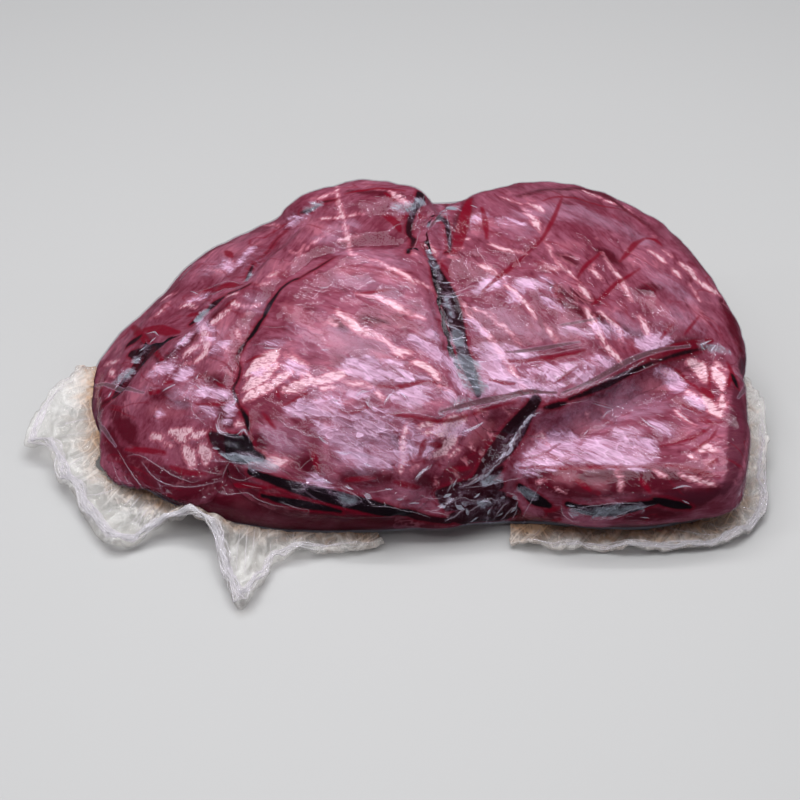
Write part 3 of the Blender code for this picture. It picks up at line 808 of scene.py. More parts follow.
# %% The pile
PACK_MIDDLE = np.array((-12.15, -21.82)) * MM
PILE_TOP = 97 * MM
PILE_CROWN = (10 * MM, 60 * MM)
FALL_LEFT, FALL_RIGHT = 215 * MM, 240 * MM
FALL_FRONT, FALL_BACK = 225 * MM, 156 * MM
SIDE_POWER = 2.2
FRONT_SHOULDER = -72 * MM
SHOULDER_RADIUS = 34 * MM
STEAKS = {
    "lower_layer": dict(
        outline=[(-168, 10), (-124, 76), (-50, 105), (60, 110), (132, 84), (160, 14),
                 (156, -60), (134, -92), (40, -95), (-30, -102), (-84, -98), (-128, -78),
                 (-160, -36)],
        plane=(25, 0, 0), thickness=25, edge=11),
    "folded_at_the_back": dict(
        outline=[(-150, 20), (-122, 66), (-60, 98), (0, 102), (66, 108), (124, 86),
                 (154, 40), (158, 4), (120, -20), (0, -20), (-110, -10)],
        rise=-13, thickness=72, edge=22, floor=6),
    "back_left": dict(
        outline=[(-174, 14), (-168, 40), (-143, 58), (-117, 82), (-86, 92), (-58, 98),
                 (-46, 78), (-79, 50), (-97, 32), (-115, 26), (-137, 14), (-150, -6),
                 (-166, -18)],
        rise=-10, thickness=50, edge=13),
    "left_long": dict(
        outline=[(-6, 60), (-30, 66), (-52, 70), (-76, 42), (-95, 20), (-117, 6),
                 (-139, -4), (-158, -20), (-165, -40), (-157, -64), (-134, -82),
                 (-107, -92), (-94, -80), (-89, -52), (-86, -28), (-78, -7), (-64, 8),
                 (-37, 24), (-8, 34)],
        rise=-1, thickness=52, edge=11, floor=14),
    "centre": dict(
        outline=[(-38, 27), (-16, 26), (2, 20), (8, -18), (14, -46), (21, -68), (8, -90),
                 (-12, -106), (-44, -107), (-76, -98), (-93, -78), (-91, -50), (-88, -30),
                 (-80, -4), (-66, 12)],
        rise=1, thickness=56, edge=11, floor=17),
    "right": dict(
        outline=[(7, 25), (8, 48), (29, 74), (76, 106), (120, 88), (152, 48), (168, -4),
                 (163, -17), (141, -19), (119, -35), (99, -49), (70, -69), (46, -73),
                 (28, -71), (20, -46), (13, -18)],
        rise=0, thickness=24, edge=8),
    "front_right": dict(
        outline=[(50, -76), (62, -40), (110, -10), (158, -8), (164, -40), (162, -72),
                 (154, -96), (126, -105), (68, -105), (50, -96)],
        plane=(56, 0, 0.17), thickness=48, edge=13, floor=8),
    "front_middle": dict(
        outline=[(-16, -60), (40, -46), (62, -56), (56, -80), (40, -94), (-12, -98)],
        rise=-11, thickness=50, edge=10, floor=6),
    "top_back": dict(
        outline=[(-76, 74), (-54, 92), (-32, 98), (-10, 90), (9, 72), (4, 54),
                 (-16, 46), (-44, 54)],
        rise=3.5, thickness=40, edge=15),
}


def pile_height(x, y):
    """Height of the pile's crown over the table. x and y are arrays, from its own middle."""
    dx, dy = x - PILE_CROWN[0], y - PILE_CROWN[1]
    sideways = np.abs(dx / np.where(dx > 0, FALL_RIGHT, FALL_LEFT)) ** SIDE_POWER
    lengthways = (dy / np.where(dy > 0, FALL_BACK, FALL_FRONT)) ** 2
    past_shoulder = np.maximum(0, FRONT_SHOULDER - y)
    return PILE_TOP * (1 - sideways - lengthways) - past_shoulder**2 / (2 * SHOULDER_RADIUS)


crown_height = float(pile_height(PILE_CROWN[0], PILE_CROWN[1]))
print(len(STEAKS), "steaks, the pile's crown at", round(crown_height / MM, 1), "mm")

# %% [markdown]
# ### Making one steak
#
# A curve with a bevel gives the slab and its rounded edge at once, and a voxel remesh
# turns it into even faces that bend well. Laying it on the pile keeps each point's depth
# below the upper face. Then the vacuum does its work: points near the tight surface are
# drawn up to it. Every steak lies a little deeper than the one over it, so none shine
# through each other.

# %% A slab with a rounded edge, laid on the pile
STEAK_VOXEL = 1.7 * MM
UNDER_FILM = 0.40 * MM  # from the tight surface down to the uppermost steak
LAYER_GAP = 0.06 * MM  # and a little more to each steak that lies further down
ON_TOP = ["centre", "right", "left_long", "top_back", "front_right", "front_middle",
          "back_left", "folded_at_the_back", "lower_layer"]
DRAWN_UP = (-10 * MM, -6.0 * MM)  # meat nearer than the second is drawn up to the film
SHOWS_WITHIN = 3.5 * MM  # meat that lies deeper under the film doesn't show
TURNED_AWAY = (-0.20, 0.15)
THINNEST = 0.1  # of the slab's own thickness, where the pile is too low for it


def slab(name, spec):
    thickness, edge = spec["thickness"] * MM, spec["edge"] * MM
    curve = bpy.data.curves.new(name, "CURVE")
    curve.dimensions = "2D"
    curve.fill_mode = "BOTH"
    curve.resolution_u = 8
    curve.offset = -edge
    curve.extrude = thickness / 2 - edge
    curve.bevel_depth = edge
    curve.bevel_resolution = 4
    spline = curve.splines.new("BEZIER")
    spline.bezier_points.add(len(spec["outline"]) - 1)
    for point, (x, y) in zip(spline.bezier_points, spec["outline"]):
        point.co = (x * MM, y * MM, 0)
        point.handle_left_type = point.handle_right_type = "AUTO"
    spline.use_cyclic_u = True
    mesh = mesh_of_curve(curve)
    mesh.transform(Matrix.Translation((0, 0, -thickness / 2)))
    made = piece(name, mesh)
    even_out(made, STEAK_VOXEL)
    return made


def lay_on_the_pile(obj, spec):
    points = points_of(obj.data)
    x, y, below = points.T
    if "plane" in spec:
        middle, slope_x, slope_y = spec["plane"]
        top = middle * MM + slope_x * x + slope_y * y
    else:
        top = pile_height(x, y) + spec["rise"] * MM
    squash = (top - spec.get("floor", 0) * MM) / (spec["thickness"] * MM)
    points[:, 2] = top + below * np.clip(squash, THINNEST, 1)
    points[:, :2] -= PACK_MIDDLE
    move_points(obj.data, points)


def draw_up_to_film(points, under):
    """Moves points that lie near the tight surface, or outside it, to just below it."""
    moved = points.copy()
    for n, p in enumerate(points):
        hit, normal, _, _ = tight.find_nearest(Vector(p))
        height = (Vector(p) - hit).dot(normal)
        if height > DRAWN_UP[0]:
            share = ease(*DRAWN_UP, height)
            moved[n] += share * (np.array(hit - normal * under) - p)
    moved[:, 2] = np.maximum(moved[:, 2], under)
    return moved


def triangles(obj):
    obj.data.calc_loop_triangles()
    return len(obj.data.loop_triangles)


def lies_under_film(face):
    return tight.find_nearest(face.calc_center_median())[3] < SHOWS_WITHIN


def steak(name, spec):
    made = slab("steak_" + name, spec)
    lay_on_the_pile(made, spec)
    points = draw_up_to_film(points_of(made.data), UNDER_FILM + LAYER_GAP * ON_TOP.index(name))
    move_points(made.data, points)
    refine_seen_side(made, lies_under_film)
    points = points_of(made.data)
    paint(made.data, "fat", inside_strokes(points, all_fat))
    for kept, text in STEAK_STROKES.items():
        paint(made.data, kept, inside_strokes(points, strokes(text)))
    seen = normals_of(made.data) @ np.array(towards_camera)
    paint(made.data, "unseen", 1 - ease(*TURNED_AWAY, seen))
    return made


steaks = {name: steak(name, spec) for name, spec in STEAKS.items()}
print("triangles:", {name: triangles(made) for name, made in steaks.items()})

# %% [markdown]
# ## The blood
#
# The blood fills what the steaks leave free under the film. A copy of the tight surface,
# sunk a little below the meat, is that: it shows only where the meat falls away from it.

# %% Blood in the clefts
BLOOD_UNDER_FILM = 1.1 * MM
BLOOD_FACES_KEPT = 0.4  # a smooth body needs fewer faces than the film does

blood = piece("blood_in_the_clefts", film.data.copy())
sunk = surface - outward * BLOOD_UNDER_FILM
sunk[:, 2] = np.maximum(sunk[:, 2], BLOOD_UNDER_FILM)
move_points(blood.data, sunk)
coarser = blood.modifiers.new("fewer faces", "DECIMATE")
coarser.ratio = BLOOD_FACES_KEPT
settle(blood)
print("blood:", len(blood.data.polygons), "faces")

# %% [markdown]
# ## Pleats on the film
#
# A pleat is two things: a low broad ridge pressed into the film's own mesh, and on its
# crest a thin cord of folded film that tapers off at both ends. The small ones in the fans
# are ridges alone. Each follows the tight surface, step by step.

# %% Paths over the surface
STEP = 1.3 * MM
TENTH = 0.1 * MM
FAN_SPREAD = 0.42  # of the fan's reach
HEADING_SPREAD = 0.34
BEND_SPREAD = 0.10
STEPS_IN_A_SMALL_PLEAT = (3, 8)
SMALL_PLEAT = (1.6, 3.6)  # tenths of a millimetre
CRUMPLED_WIDTH = 0.8  # of the fan's reach
chance = random.Random(11)


def fan_paths(middle, along, reach, count):
    middle, along = Vector(spot(middle)), Vector(spot(along))
    normal = tight.find_nearest(middle)[1]
    pull = (along - middle).normalized()
    side = normal.cross(pull).normalized()
    for _ in range(count):
        forwards, sideways = chance.gauss(0, FAN_SPREAD), chance.gauss(0, FAN_SPREAD)
        where = middle + reach * (forwards * pull + sideways * side)
        heading = (pull + chance.gauss(0, HEADING_SPREAD) * side).normalized()
        bend = chance.gauss(0, BEND_SPREAD)
        path = []
        for _ in range(chance.randint(*STEPS_IN_A_SMALL_PLEAT)):
            hit, out, _, _ = tight.find_nearest(where)
            path.append(hit)
            heading = (heading - heading.dot(out) * out + bend * out.cross(heading)).normalized()
            where = hit + STEP * heading
        yield path


pleats = [(tenths * TENTH, on_the_surface(pixels, STEP)) for tenths, pixels in strokes(PLEATS)]
small_pleats = []
crumpled = []
for reach, (middle, along, (count,)) in strokes(FANS):
    for path in fan_paths(middle, along, reach / 2 * MM, count):
        small_pleats.append((chance.uniform(*SMALL_PLEAT) * TENTH, path))
    crumpled.append((CRUMPLED_WIDTH * reach, [middle, along]))
print(len(pleats), "drawn pleats and", len(small_pleats), "small ones")

# %% [markdown]
# ### Relief in the film's own mesh
#
# Three heights are added to the film: a ridge along every pleat, small plateaus where the
# film is crumpled, and a faint unevenness everywhere. The film keeps the strokes of its
# painted sheen and of its doubled places too, for its material to read.

# %% Ridges in the film
RIDGE_HEIGHT = 1.3  # times its pleat's thickness
RIDGE_WIDTH = 1.5
NARROWEST_RIDGE = 1.2 * MM
SLACK = 0.10 * MM
SLACK_SIZE = 2.6 * MM
BUCKLE = 0.55 * MM  # how far slack film stands up between its creases
BUCKLE_SIZE = 6.5 * MM
CRUMPLED_EDGE = (-5, 5)  # millimetres inside a fan
STEEP = 2.2


def plateaus(points, size):
    """0 along the borders of random cells, rising to 1 inside them."""
    distances = [noise.voronoi(Vector(p) / size)[0] for p in points]
    return clamp01(np.array([STEEP * (second - first) for first, second, *_ in distances]))


rise = np.zeros(len(surface))
for thickness, path in pleats + small_pleats:
    corners = np.array([path[0], *path[2:-2:3], path[-1]])
    wide = max(NARROWEST_RIDGE, RIDGE_WIDTH * thickness)
    near = close_to(surface, corners, 3 * wide)
    gap = gap_to_path(surface[near], corners)
    rise[near] = np.maximum(rise[near], RIDGE_HEIGHT * thickness * np.exp(-((gap / wide) ** 2)))
crumpled_field = inside_strokes(surface, crumpled)
creased = raised(surface, rise)
buckled = ease(*CRUMPLED_EDGE, crumpled_field) * plateaus(surface, BUCKLE_SIZE)
creased = raised(creased, BUCKLE * buckled)
creased = raised(creased, SLACK * noise_at(surface, SLACK_SIZE, 40))
move_points(film.data, creased)
paint(film.data, "crease", rise / MM)
for kept, text in FILM_STROKES.items():
    paint(film.data, kept, inside_strokes(surface, strokes(text)))
paint(film.data, "wet", inside_strokes(surface, strokes(RED) + strokes(BLOOD)))
paint(film.data, "crumpled", crumpled_field)
creased_tree = surface_tree(film)
print("deepest crease", round(float(rise.max() / MM), 2), "mm")

# %% [markdown]
# ### Cords on the crests
#
# A curve with a round bevel makes a cord of any taper, and all of a kind are one mesh. A
# pleat is pressed to less than half its height, and a fold that lies flat to a sixth, so
# that it is a ribbon with a lamp's reflection on it.

# %% Cords of folded film
CORD_RADIUS = 0.55  # times its pleat's thickness
PRESSED_PLEAT = dict(keep=0.45, lift=0.04 * MM)
PRESSED_FOLD = dict(keep=0.16, lift=0.10 * MM)


def cords(name, paths):
    """One mesh of thin tapered cords. paths holds (radii, points)."""
    curve = bpy.data.curves.new(name, "CURVE")
    curve.dimensions = "3D"
    curve.bevel_depth = 1
    curve.bevel_resolution = 1
    curve.use_fill_caps = True
    for radii, path in paths:
        spline = curve.splines.new("POLY")
        spline.points.add(len(path) - 1)
        for point, radius, place in zip(spline.points, radii, path):
            point.co = (*place, 1)
            point.radius = radius
    mesh = mesh_of_curve(curve)
    shape = bmesh.new()
    shape.from_mesh(mesh)
    bmesh.ops.remove_doubles(shape, verts=shape.verts[:], dist=SAME_POINT / 2)
    bmesh.ops.recalc_face_normals(shape, faces=shape.faces[:])
    shape.to_mesh(mesh)
    shape.free()
    mesh.shade_smooth()
    return piece(name, mesh)


def press_flat(obj, keep, lift):
    """Presses a piece down on the film, to a share of the height it stood at."""
    points = points_of(obj.data)
    for n, p in enumerate(points):
        hit, normal, _, _ = creased_tree.find_nearest(Vector(p))
        height = (Vector(p) - hit).dot(normal)
        points[n] = hit + normal * (lift + keep * height)
    move_points(obj.data, points)


def on_the_film(path):
    return [creased_tree.find_nearest(p)[0] for p in path]


pleat_cords = cords("film_pleats", [
    (taper(len(path), CORD_RADIUS * thickness), on_the_film(path))
    for thickness, path in pleats])
press_flat(pleat_cords, **PRESSED_PLEAT)
folds = [(tenths / 2 * TENTH, on_the_surface(pixels, STEP / 2))
         for tenths, pixels in strokes(FLAT_FOLDS)]
flat_folds = cords("film_flat_folds", [
    (taper(len(path), radius, least=0.03, pointed=1.3), on_the_film(path))
    for radius, path in folds])
press_flat(flat_folds, **PRESSED_FOLD)
print("pleat cords:", len(pleat_cords.data.polygons), "faces, flat folds:",
      len(flat_folds.data.polygons))

# %% [markdown]
# ## Nodes that read like sums
#
# A material of many layers is a long chain of nodes. A small class keeps the chain
# readable: a field is a number that varies over the surface, and two fields can be added
# or multiplied as numbers are, which adds the right Math node.

# %% Fields


class Field:
    """A number that varies over a surface, as a node gives it."""

    def __init__(self, nodes, socket):
        self.nodes = nodes
        self.socket = socket

    def __add__(self, other):
        return self.nodes.math("ADD", self, other)

    def __mul__(self, other):
        return self.nodes.math("MULTIPLY", self, other)

    def __sub__(self, other):
        return self.nodes.math("SUBTRACT", self, other)

    def __rsub__(self, other):
        return self.nodes.math("SUBTRACT", other, self)

    __radd__ = __add__
    __rmul__ = __mul__

    def largest(self, other):
        return self.nodes.math("MAXIMUM", self, other)

    def smallest(self, other):
        return self.nodes.math("MINIMUM", self, other)

    def clamped(self):
        """Keeps the last sum or product between 0 and 1."""
        self.socket.node.use_clamp = True
        return self

    def swing(self, amount):
        """Noise about its middle value, times an amount."""
        return (self - 0.5) * amount

    def ramp(self, low, high):
        """0 below low, 1 above high."""
        node = self.nodes.add("ShaderNodeMapRange", dict(interpolation_type="SMOOTHSTEP"),
                              Value=self, From_Min=low, From_Max=high)
        return Field(self.nodes, node.outputs["Result"])


print("fields ready")

# %% [markdown]
# ### A material's nodes
#
# Every material here is built with the same few calls: noise, thin ridges, numbers kept by
# the mesh, blends of two colours, and bump. Each call adds one node or a few, and links
# what it is given.

# %% A material's nodes


class Nodes:
    """A new material, and short calls that add nodes to it and link them."""

    def __init__(self, name):
        self.material = bpy.data.materials.new(name)
        self.material.use_nodes = True
        self.tree = self.material.node_tree
        self.tree.nodes.clear()
        self.output = self.add("ShaderNodeOutputMaterial")
        self.place = self.add("ShaderNodeTexCoord").outputs["Object"]

    def add(self, kind, settings=None, **inputs):
        node = self.tree.nodes.new(kind)
        for name, value in (settings or {}).items():
            setattr(node, name, value)
        for name, value in inputs.items():
            self.put(node, name.replace("_", " "), value)
        return node

    def put(self, node, name, value):
        """Links a field or a socket to an input, or sets the input to a plain value."""
        if isinstance(value, Field):
            value = value.socket
        if isinstance(value, bpy.types.NodeSocket):
            self.tree.links.new(value, node.inputs[name])
        else:
            node.inputs[name].default_value = value

    def finish(self, shader):
        self.put(self.output, "Surface", shader.outputs[0])
        return self.material

    def math(self, operation, *values):
        node = self.add("ShaderNodeMath", dict(operation=operation))
        for n, value in enumerate(values):
            self.put(node, n, value)
        return Field(self, node.outputs[0])

    def vector(self, operation, first, second=(0, 0, 0)):
        node = self.add("ShaderNodeVectorMath", dict(operation=operation))
        self.put(node, 0, first)
        self.put(node, 1, second)
        return node.outputs[0]

    def blend(self, factor, first, second):
        """Colours blended by a factor."""
        node = self.add("ShaderNodeMix", dict(data_type="RGBA"))
        for socket, value in zip((0, 6, 7), (factor, first, second)):
            self.put(node, socket, rgba(value))
        return node.outputs[2]

    def kept(self, name):
        """A number that the mesh keeps at every point."""
        node = self.add("ShaderNodeAttribute", dict(attribute_name=name))
        return Field(self, node.outputs["Fac"])

    def along(self, long, turn):
        """Places in which features come out longer by a factor, along a line turned from x."""
        return self.add(
            "ShaderNodeMapping", dict(vector_type="TEXTURE"), Vector=self.place,
            Scale=(long, 1, 1), Rotation=(0, 0, math.radians(turn))).outputs["Vector"]

    def noise(self, size, detail=3.0, roughness=0.55, long=1, turn=0, warp=0.0):
        """Noise whose features are about size metres wide."""
        node = self.add("ShaderNodeTexNoise", Vector=self.along(long, turn), Scale=1 / size,
                        Detail=detail, Roughness=roughness, Distortion=warp)
        return Field(self, node.outputs["Fac"])

    def ridges(self, size, long, turn, thin, warp=0.5):
        """Thin lines along the middle values of noise."""
        off = self.math("ABSOLUTE", self.noise(
            size, detail=1.5, long=long, turn=turn, warp=warp) - 0.5)
        return (1.0 - off * thin).clamped()

    def bump(self, height, strength, distance):
        node = self.add("ShaderNodeBump", Height=height, Strength=strength, Distance=distance)
        return node.outputs["Normal"]


print("node calls ready")

# %% [markdown]
# ## The look of meat
#
# Raw beef is a deep purple-red with a fine grain, seams of pink-white fat, and blood that
# is nearly black where it is deep and dark red where it is thin. The material is built up
# in that order: muscle, then fat, then blood. It reads the strokes kept on each mesh and
# frays their edges with noise that follows the grain.

# %% Muscle
MUSCLE = (0.147, 0.021, 0.042)
MUSCLE_PALE = (0.305, 0.095, 0.150)
MUSCLE_DEEP = (0.066, 0.0015, 0.008)
FAT_PINK = (0.56, 0.185, 0.25)
FAT_WHITE = (0.76, 0.50, 0.57)
MAROON_SHADE = (0.07, 0.009, 0.021)


class MeatNodes(Nodes):
    """A steak's material, with the noises that its layers share."""

    def __init__(self, name, turn):
        super().__init__(name)
        self.turn = turn
        self.patches = self.noise(24 * MM, detail=5, roughness=0.6, warp=0.5)
        self.blotches = self.noise(6 * MM, detail=4, roughness=0.65, long=2.2, turn=turn, warp=0.8)
        self.grain = self.noise(1.6 * MM, detail=3, long=8, turn=turn, warp=0.3)
        self.frayed = self.noise(2.6 * MM, detail=5, roughness=0.7, long=1.7, turn=turn, warp=0.8)
        self.fibres = self.noise(0.9 * MM, detail=3, long=5, turn=turn + 15)
        self.fray = (self.frayed.swing(3.4) + self.blotches.swing(2.6)
                     + self.fibres.swing(1.6))


def muscle(meat):
    paleness = meat.patches.swing(1.8) + meat.blotches.swing(1.4) + meat.grain.swing(0.8)
    colour = meat.blend(paleness.ramp(-0.45, 0.55), MUSCLE, MUSCLE_PALE)
    flecks = (meat.blotches.swing(-2.0) + meat.grain.swing(-1.6)).ramp(0.15, 0.9)
    # Painted shade in part: the deep strokes also darken the foot and the meat under the lip.
    burgundy_and_shade = meat.kept("deep") + meat.blotches.swing(9.0) + meat.frayed.swing(5.0)
    dark = (0.6 * flecks).largest(0.92 * burgundy_and_shade.ramp(-2.5, 2.0))
    return meat.blend(dark, colour, MUSCLE_DEEP)


print("muscle from", MUSCLE, "to", MUSCLE_PALE)

# %% [markdown]
# ### Fat
#
# Fat has a pink margin, frayed by the fibres that run into it, and a whiter core. Where
# it is thin the muscle only looks pale, and fine marbling runs nearly along the grain.

# %% Fat


def with_fat(meat, colour):
    """Pale stretches, marbling, and seams of fat with a pink margin and a white core."""
    pale = (meat.kept("pale") + meat.blotches.swing(9.0)).ramp(-3.0, 3.0)
    colour = meat.blend(0.30 * pale, colour, FAT_PINK)
    marbling = meat.ridges(8 * MM, 3.3, meat.turn + 12, 13, warp=1.2)
    marbling = marbling * meat.patches.ramp(0.50, 0.68)
    colour = meat.blend(0.45 * marbling, colour, FAT_PINK)
    # No strokes reach the side that the camera doesn't see, so seams follow a rule there.
    seams = meat.ridges(22 * MM, 4, 0.3 * meat.turn + 12, 15, warp=0.6).ramp(0.2, 0.9)
    seams = seams * (meat.patches + meat.blotches.swing(0.5)).ramp(0.50, 0.66)
    seams = seams * meat.kept("unseen")
    near_fat = meat.kept("fat") + meat.fray
    strength = 0.30 + 0.70 * (meat.frayed + meat.fibres.swing(0.9)).ramp(0.36, 0.58)
    margin = near_fat.ramp(-1.5, 0.5).largest(seams)
    colour = meat.blend(margin * (0.8 * strength), colour, FAT_PINK)
    core = (near_fat + meat.grain.swing(2.0)).ramp(-0.1, 1.1).largest(0.6 * seams)
    return meat.blend(core * strength, colour, FAT_WHITE)


print("fat from", FAT_PINK, "to", FAT_WHITE)

# %% [markdown]
# ### Blood
#
# Blood is clear red where it is a thin layer and nearly black where it is deep. So a
# pocket of it gets a red rim, and the body of blood in the clefts is black with clouds of
# dark red.

# %% Blood in and on the meat
BLOOD_DEEP = (0.006, 0.002, 0.004)
BLOOD_THIN = (0.05, 0.003, 0.008)
BLOOD_RED = (0.17, 0.001, 0.012)


def with_blood(meat, colour):
    """Red folds and fine red creases, then pockets that are red at the rim and black inside."""
    folds = (meat.kept("red") + 0.25 * meat.fray).ramp(-0.9, 0.5)
    colour = meat.blend(0.88 * folds, colour, BLOOD_RED)
    creases = meat.ridges(17 * MM, 5, -34, 42, warp=0.6) * meat.patches.ramp(0.42, 0.58)
    colour = meat.blend(0.6 * creases, colour, BLOOD_RED)
    near_blood = meat.kept("blood") + 0.3 * meat.fray
    colour = meat.blend(0.7 * near_blood.ramp(-2.6, -0.2), colour, BLOOD_RED)
    return meat.blend(near_blood.ramp(-0.9, 0.5), colour, BLOOD_DEEP)


def blood_material():
    nodes = Nodes("blood")
    cloud = nodes.noise(14 * MM, detail=3)
    colour = nodes.blend(cloud.ramp(0.45, 0.75), BLOOD_DEEP, BLOOD_THIN)
    shader = nodes.add("ShaderNodeBsdfPrincipled", Base_Color=colour, Roughness=0.2,
                       Specular_IOR_Level=0.08)
    return nodes.finish(shader)


blood.data.materials.append(blood_material())
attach(blood, "root")
print("blood dressed")

# %% [markdown]
# ### Each steak in its own material
#
# The steaks differ in how their grain runs and in how dark they are. The darkening is partly
# each steak's own tone and partly painted shade: the layer at the foot, where shade falls,
# is much the darkest.
# The meat itself hardly shines, because it lies wet against the film: the shine that is
# seen is the film's.

# %% Meat
GRAIN = {
    "lower_layer": 10, "folded_at_the_back": 0, "back_left": 35, "left_long": 60,
    "centre": -30, "right": -55, "front_right": 5, "front_middle": -70, "top_back": 20,
}
DARKER_TONE_AND_SHADE = {
    "lower_layer": 0.75, "front_middle": 0.26, "top_back": 0.1, "left_long": 0.22,
    "back_left": 0.2, "folded_at_the_back": 0.2, "right": 0.12,
}


def meat_material(name, grain_angle, darker):
    meat = MeatNodes(name, grain_angle)
    colour = with_fat(meat, muscle(meat))
    # Painted shade, where the meat turns away at the right end.
    in_shade = (meat.kept("shade") + meat.fray).ramp(-1.5, 1.5)
    colour = with_blood(meat, meat.blend(0.8 * in_shade, colour, MAROON_SHADE))
    # Painted shade and tone: the whole steak darkened.
    if darker:
        colour = meat.blend(darker, colour, MUSCLE_DEEP)
    uneven = meat.bump(0.5 * meat.grain + meat.frayed, 0.5, 0.4 * MM)
    shader = meat.add("ShaderNodeBsdfPrincipled", Base_Color=colour, Roughness=0.6,
                      Specular_IOR_Level=0.02, Normal=uneven)
    return meat.finish(shader)


for name, made in steaks.items():
    label = "meat " + name.replace("_", " ")
    made.data.materials.append(meat_material(label, GRAIN[name], DARKER_TONE_AND_SHADE.get(name, 0)))
    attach(made, "root")
print("meat materials:", len(steaks))

# %% [markdown]
# ## The look of film
#
# Clear film lets nearly all light through and mirrors a little of it, more where it is
# seen at a slant. A glass shader would bend the light twice for nothing, as film this thin
# doesn't bend it. So film is a transparent shader mixed with a glossy one by the share that
# the Fresnel node gives. The share is held below a quarter, because wrinkled film never
# turns to a mirror at its rim. A thin veil is added on top: milky where the film lies in
# several layers, and painted sheen and painted reflection where it stands off the meat or
# spans a cleft, with the painted sheen left out where blood wets it.

# %% Film
FILM_TINT = (0.98, 0.96, 0.98)
MIRRORED = (0.90, 0.85, 1.0)
TIGHT_INDEX = 1.27
MOST_MIRRORED = 0.24
TIGHT_GLOSS, FOLD_GLOSS, LOOSE_GLOSS = 0.07, 0.10, 0.09  # roughness


def film_shader(nodes, veil_share, veil_colour, normal, gloss, index=TIGHT_INDEX,
                mirrored=MIRRORED, tint=FILM_TINT):
    clear = nodes.add("ShaderNodeBsdfTransparent", Color=rgba(tint))
    milky_and_sheen = nodes.add("ShaderNodeBsdfDiffuse", Normal=normal, Color=rgba(veil_colour))
    mirror = nodes.add("ShaderNodeBsdfGlossy", Normal=normal, Color=rgba(mirrored),
                       Roughness=gloss)
    fresnel = nodes.add("ShaderNodeFresnel", Normal=normal, IOR=index)
    mirror_share = nodes.math("MINIMUM", fresnel.outputs[0], MOST_MIRRORED)
    shader = clear
    for share, layer in ((veil_share, milky_and_sheen), (mirror_share, mirror)):
        under = shader
        shader = nodes.add("ShaderNodeMixShader")
        for socket, value in enumerate((share, under.outputs[0], layer.outputs[0])):
            nodes.put(shader, socket, value)
    return nodes.finish(shader)


print("at most", MOST_MIRRORED, "of the light is mirrored")

# %% [markdown]
# ### The facets of crumpled film
#
# Crumpled film is made of small flat facets, finer than the mesh can hold. A pattern of
# cells gives them: each cell tilts the normal its own way, so that it catches the lamps by
# itself, and the creases between cells are bump. Two sizes of cell are laid over each
# other, both drawn out along the pull of the film.

# %% Facets
MIDDLE = (0.5, 0.5, 0.5)


def facets(nodes, size, long, turn, wander):
    """Facets between creases: the distance to a crease, and a number and a lean for each."""
    place = nodes.along(long, turn)
    bent = nodes.add("ShaderNodeTexNoise", Vector=place, Scale=0.7 / size, Detail=1.5)
    bent = nodes.vector("SUBTRACT", bent.outputs["Color"], MIDDLE)
    place = nodes.vector("ADD", place, nodes.vector("MULTIPLY", bent, (wander,) * 3))
    cells = nodes.add("ShaderNodeTexVoronoi", Vector=place, Scale=1 / size)
    creases = nodes.add("ShaderNodeTexVoronoi", dict(feature="DISTANCE_TO_EDGE"), Vector=place,
                        Scale=1 / size)
    own = nodes.add("ShaderNodeSeparateColor", Color=cells.outputs["Color"]).outputs[0]
    lean = nodes.vector("SUBTRACT", cells.outputs["Color"], MIDDLE)
    return Field(nodes, creases.outputs["Distance"]) * size, Field(nodes, own), lean


def leaning(nodes, normal, lean, amount):
    """A normal tilted by a lean, times an amount."""
    tilted = nodes.vector("ADD", normal, nodes.vector("MULTIPLY", lean, amount))
    return nodes.vector("NORMALIZE", tilted)


print("facets ready")

# %% [markdown]
# ### The tight film
#
# The facets come first, then the veil: a painted lilac sheen and a weak painted sheen that
# blood would wet away, and a painted grey-blue reflection over the clefts, all with frayed
# edges and a satin that differs from facet to facet. Last come painted highlights: bright
# lines along the facets' borders, the fine ridges and the pleats.

# %% The tight film's material
LILAC = (0.75, 0.48, 0.71)
GREY_BLUE = (0.42, 0.45, 0.55)
GREY_BROWN = (0.11, 0.07, 0.085)
LILAC_SHEEN_SHARE, SHEEN_SHARE, CLEFT_SHARE, DOUBLED_SHARE = 0.60, 0.18, 0.45, 0.6
BRIGHT_BORDER, BRIGHT_LINE, BRIGHT_CREASE = 0.20, 0.26, 0.06


